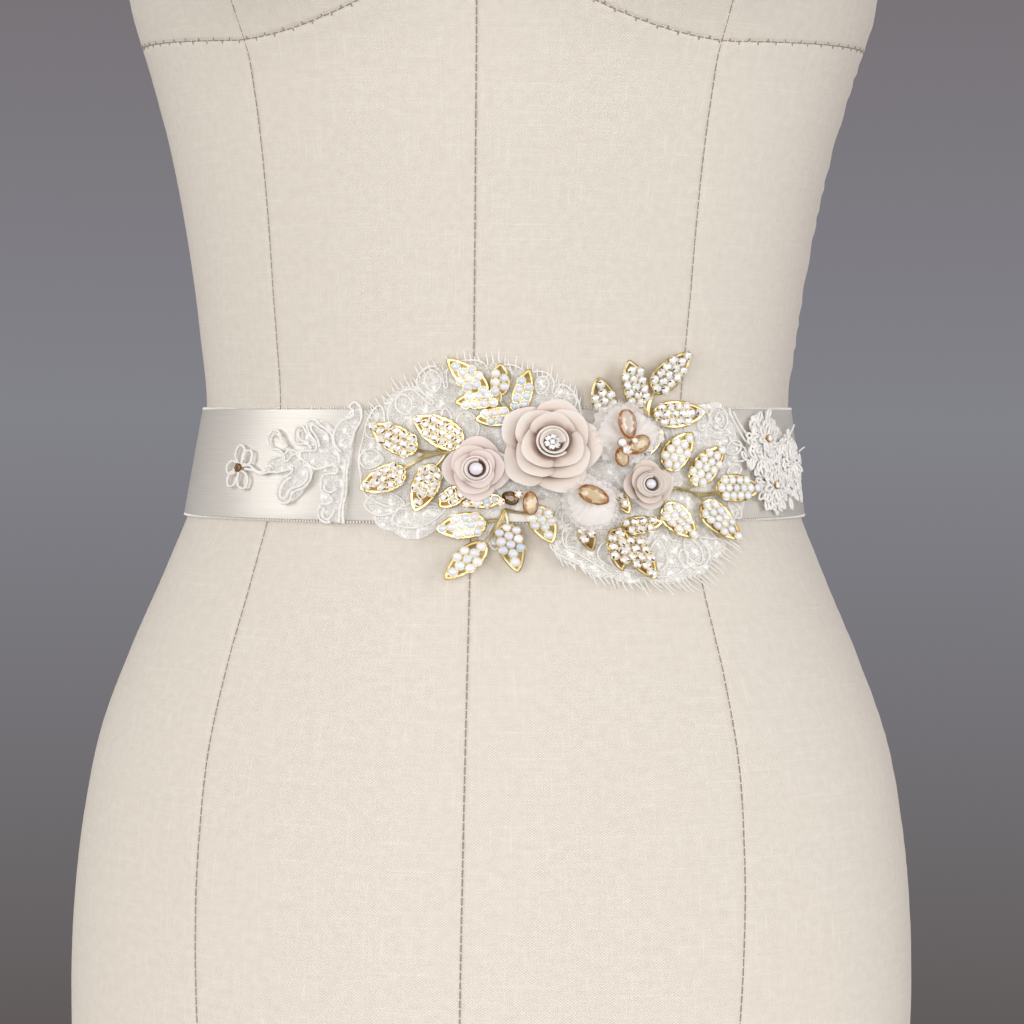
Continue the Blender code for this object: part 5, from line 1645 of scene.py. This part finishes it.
def buildSettings(castName, rows, stoneNames):
    cast = bmesh.new()
    for kind, name in stoneNames.items():
        look, gem, sharp = gems[kind]
        stones = facetedMesh()
        for row in rows:
            if row.kind == kind:
                setStone(stones, cast, row)
        addPiece(name, stones, look, sharp=sharp, outward=False)
    addPiece(castName, cast, oldGold, sharp=30.0, outward=False)


buildSettings("cluster_settings", clusterSettings, {"milk": "cluster_opals", "clear": "cluster_crystals"})
buildSettings("left_flower_setting", leftSettings, {"topaz": "left_flower_stone"})
print("organza and drops made")


# The stage, light and camera


studio = {
    "aim": Vector((0.0, -0.09, sashHeight * mm)),
    "lights": [  # name, size and power, place, colour
        ("front", (2.2, 1.4), 40.0, (-0.2, -2.6, 0.4), (1.0, 0.995, 0.985)),
        ("key", (1.2, 1.6), 23.0, (-2.1, -0.75, 1.1), (1.0, 0.995, 0.985)),
        ("fill", (1.4, 1.8), 28.0, (2.0, -1.2, 0.8), (0.99, 0.99, 1.0)),
        ("top", (1.6, 1.4), 4.0, (0.0, -0.2, 2.2), (1.0, 1.0, 1.0)),
        ("back", (1.6, 1.2), 13.0, (0.3, 1.9, 1.2), (1.0, 1.0, 1.0)),
    ],
    "background": [(0.1, "#5d5755"), (0.5, "#83838a"), (0.9, "#726a6c")],
    "floorRadius": 0.48,
}


def addLight(name, size, energy, place, colour):
    lamp = bpy.data.lights.new(name, "AREA")
    lamp.shape = "RECTANGLE"
    lamp.size, lamp.size_y = size
    lamp.energy = energy
    lamp.color = colour
    light = addObject(name, lamp)
    light.location = place
    light.rotation_euler = (Vector(place) - studio["aim"]).to_track_quat("Z", "Y").to_euler()


for light in studio["lights"]:
    addLight(*light)

world = bpy.data.worlds.new("studio")
world.use_nodes = True
backdrop = world.node_tree
direction = addNode(backdrop, "TexCoord").outputs["Generated"]
height = addNode(backdrop, "SeparateXYZ", {"Vector": direction}).outputs["Z"]
shade = addNode(backdrop, "MapRange", {"Value": height, "From Min": -0.3, "From Max": 0.3})
fade = addNode(backdrop, "ValToRGB", {"Fac": shade.outputs[0]})
backdrop.links.new(setRamp(fade, studio["background"]), backdrop.nodes["Background"].inputs["Color"])
bpy.context.scene.world = world
bpy.context.scene.view_settings.view_transform = "Standard"

# a sheet of pale paper: matt and even
floorMaterial, tree = newMaterial("pastelPaperFloor", Base_Color=linear("#d8d5d2"), Roughness=0.9)
floorMesh = bmesh.new()
bmesh.ops.create_circle(floorMesh, cap_ends=True, segments=96, radius=studio["floorRadius"])
floor = addObject("floor", meshOf(floorMesh, outward=False))
floor.location.z = -0.0005
floor.data.materials.append(floorMaterial)

view = {
    "distance": 1.0,
    "focalPixels": 2688.0,
    "frame": 1024.0,
    "azimuth": math.radians(5.0),
    "roll": math.radians(0.77),
    "downPixels": 92.0,
    "sidePixels": 17.0,
    "above": 0.0156,
}


def addCamera():
    pitch = math.atan(view["downPixels"] / view["focalPixels"])
    heading = view["azimuth"] - math.atan(view["sidePixels"] / view["focalPixels"])
    flatAhead = math.cos(pitch)
    ahead = Vector((-math.sin(heading) * flatAhead, math.cos(heading) * flatAhead, -math.sin(pitch)))
    level = ahead.cross(Vector((0, 0, 1))).normalized()
    upright = level.cross(ahead)
    c, s = math.cos(view["roll"]), math.sin(view["roll"])
    axes = Matrix((level * c + upright * s, upright * c - level * s, -ahead)).transposed().to_4x4()
    axes.translation = (
        view["distance"] * math.sin(view["azimuth"]),
        -view["distance"] * math.cos(view["azimuth"]),
        sashHeight * mm + view["above"],
    )
    lens = bpy.data.cameras.new("camera")
    lens.sensor_width = 36.0
    lens.lens = lens.sensor_width * view["focalPixels"] / view["frame"]
    lens.clip_start, lens.clip_end = 0.05, 20.0
    camera = addObject("camera", lens)
    camera.matrix_world = axes
    bpy.context.scene.camera = camera


addCamera()
print("stage made")
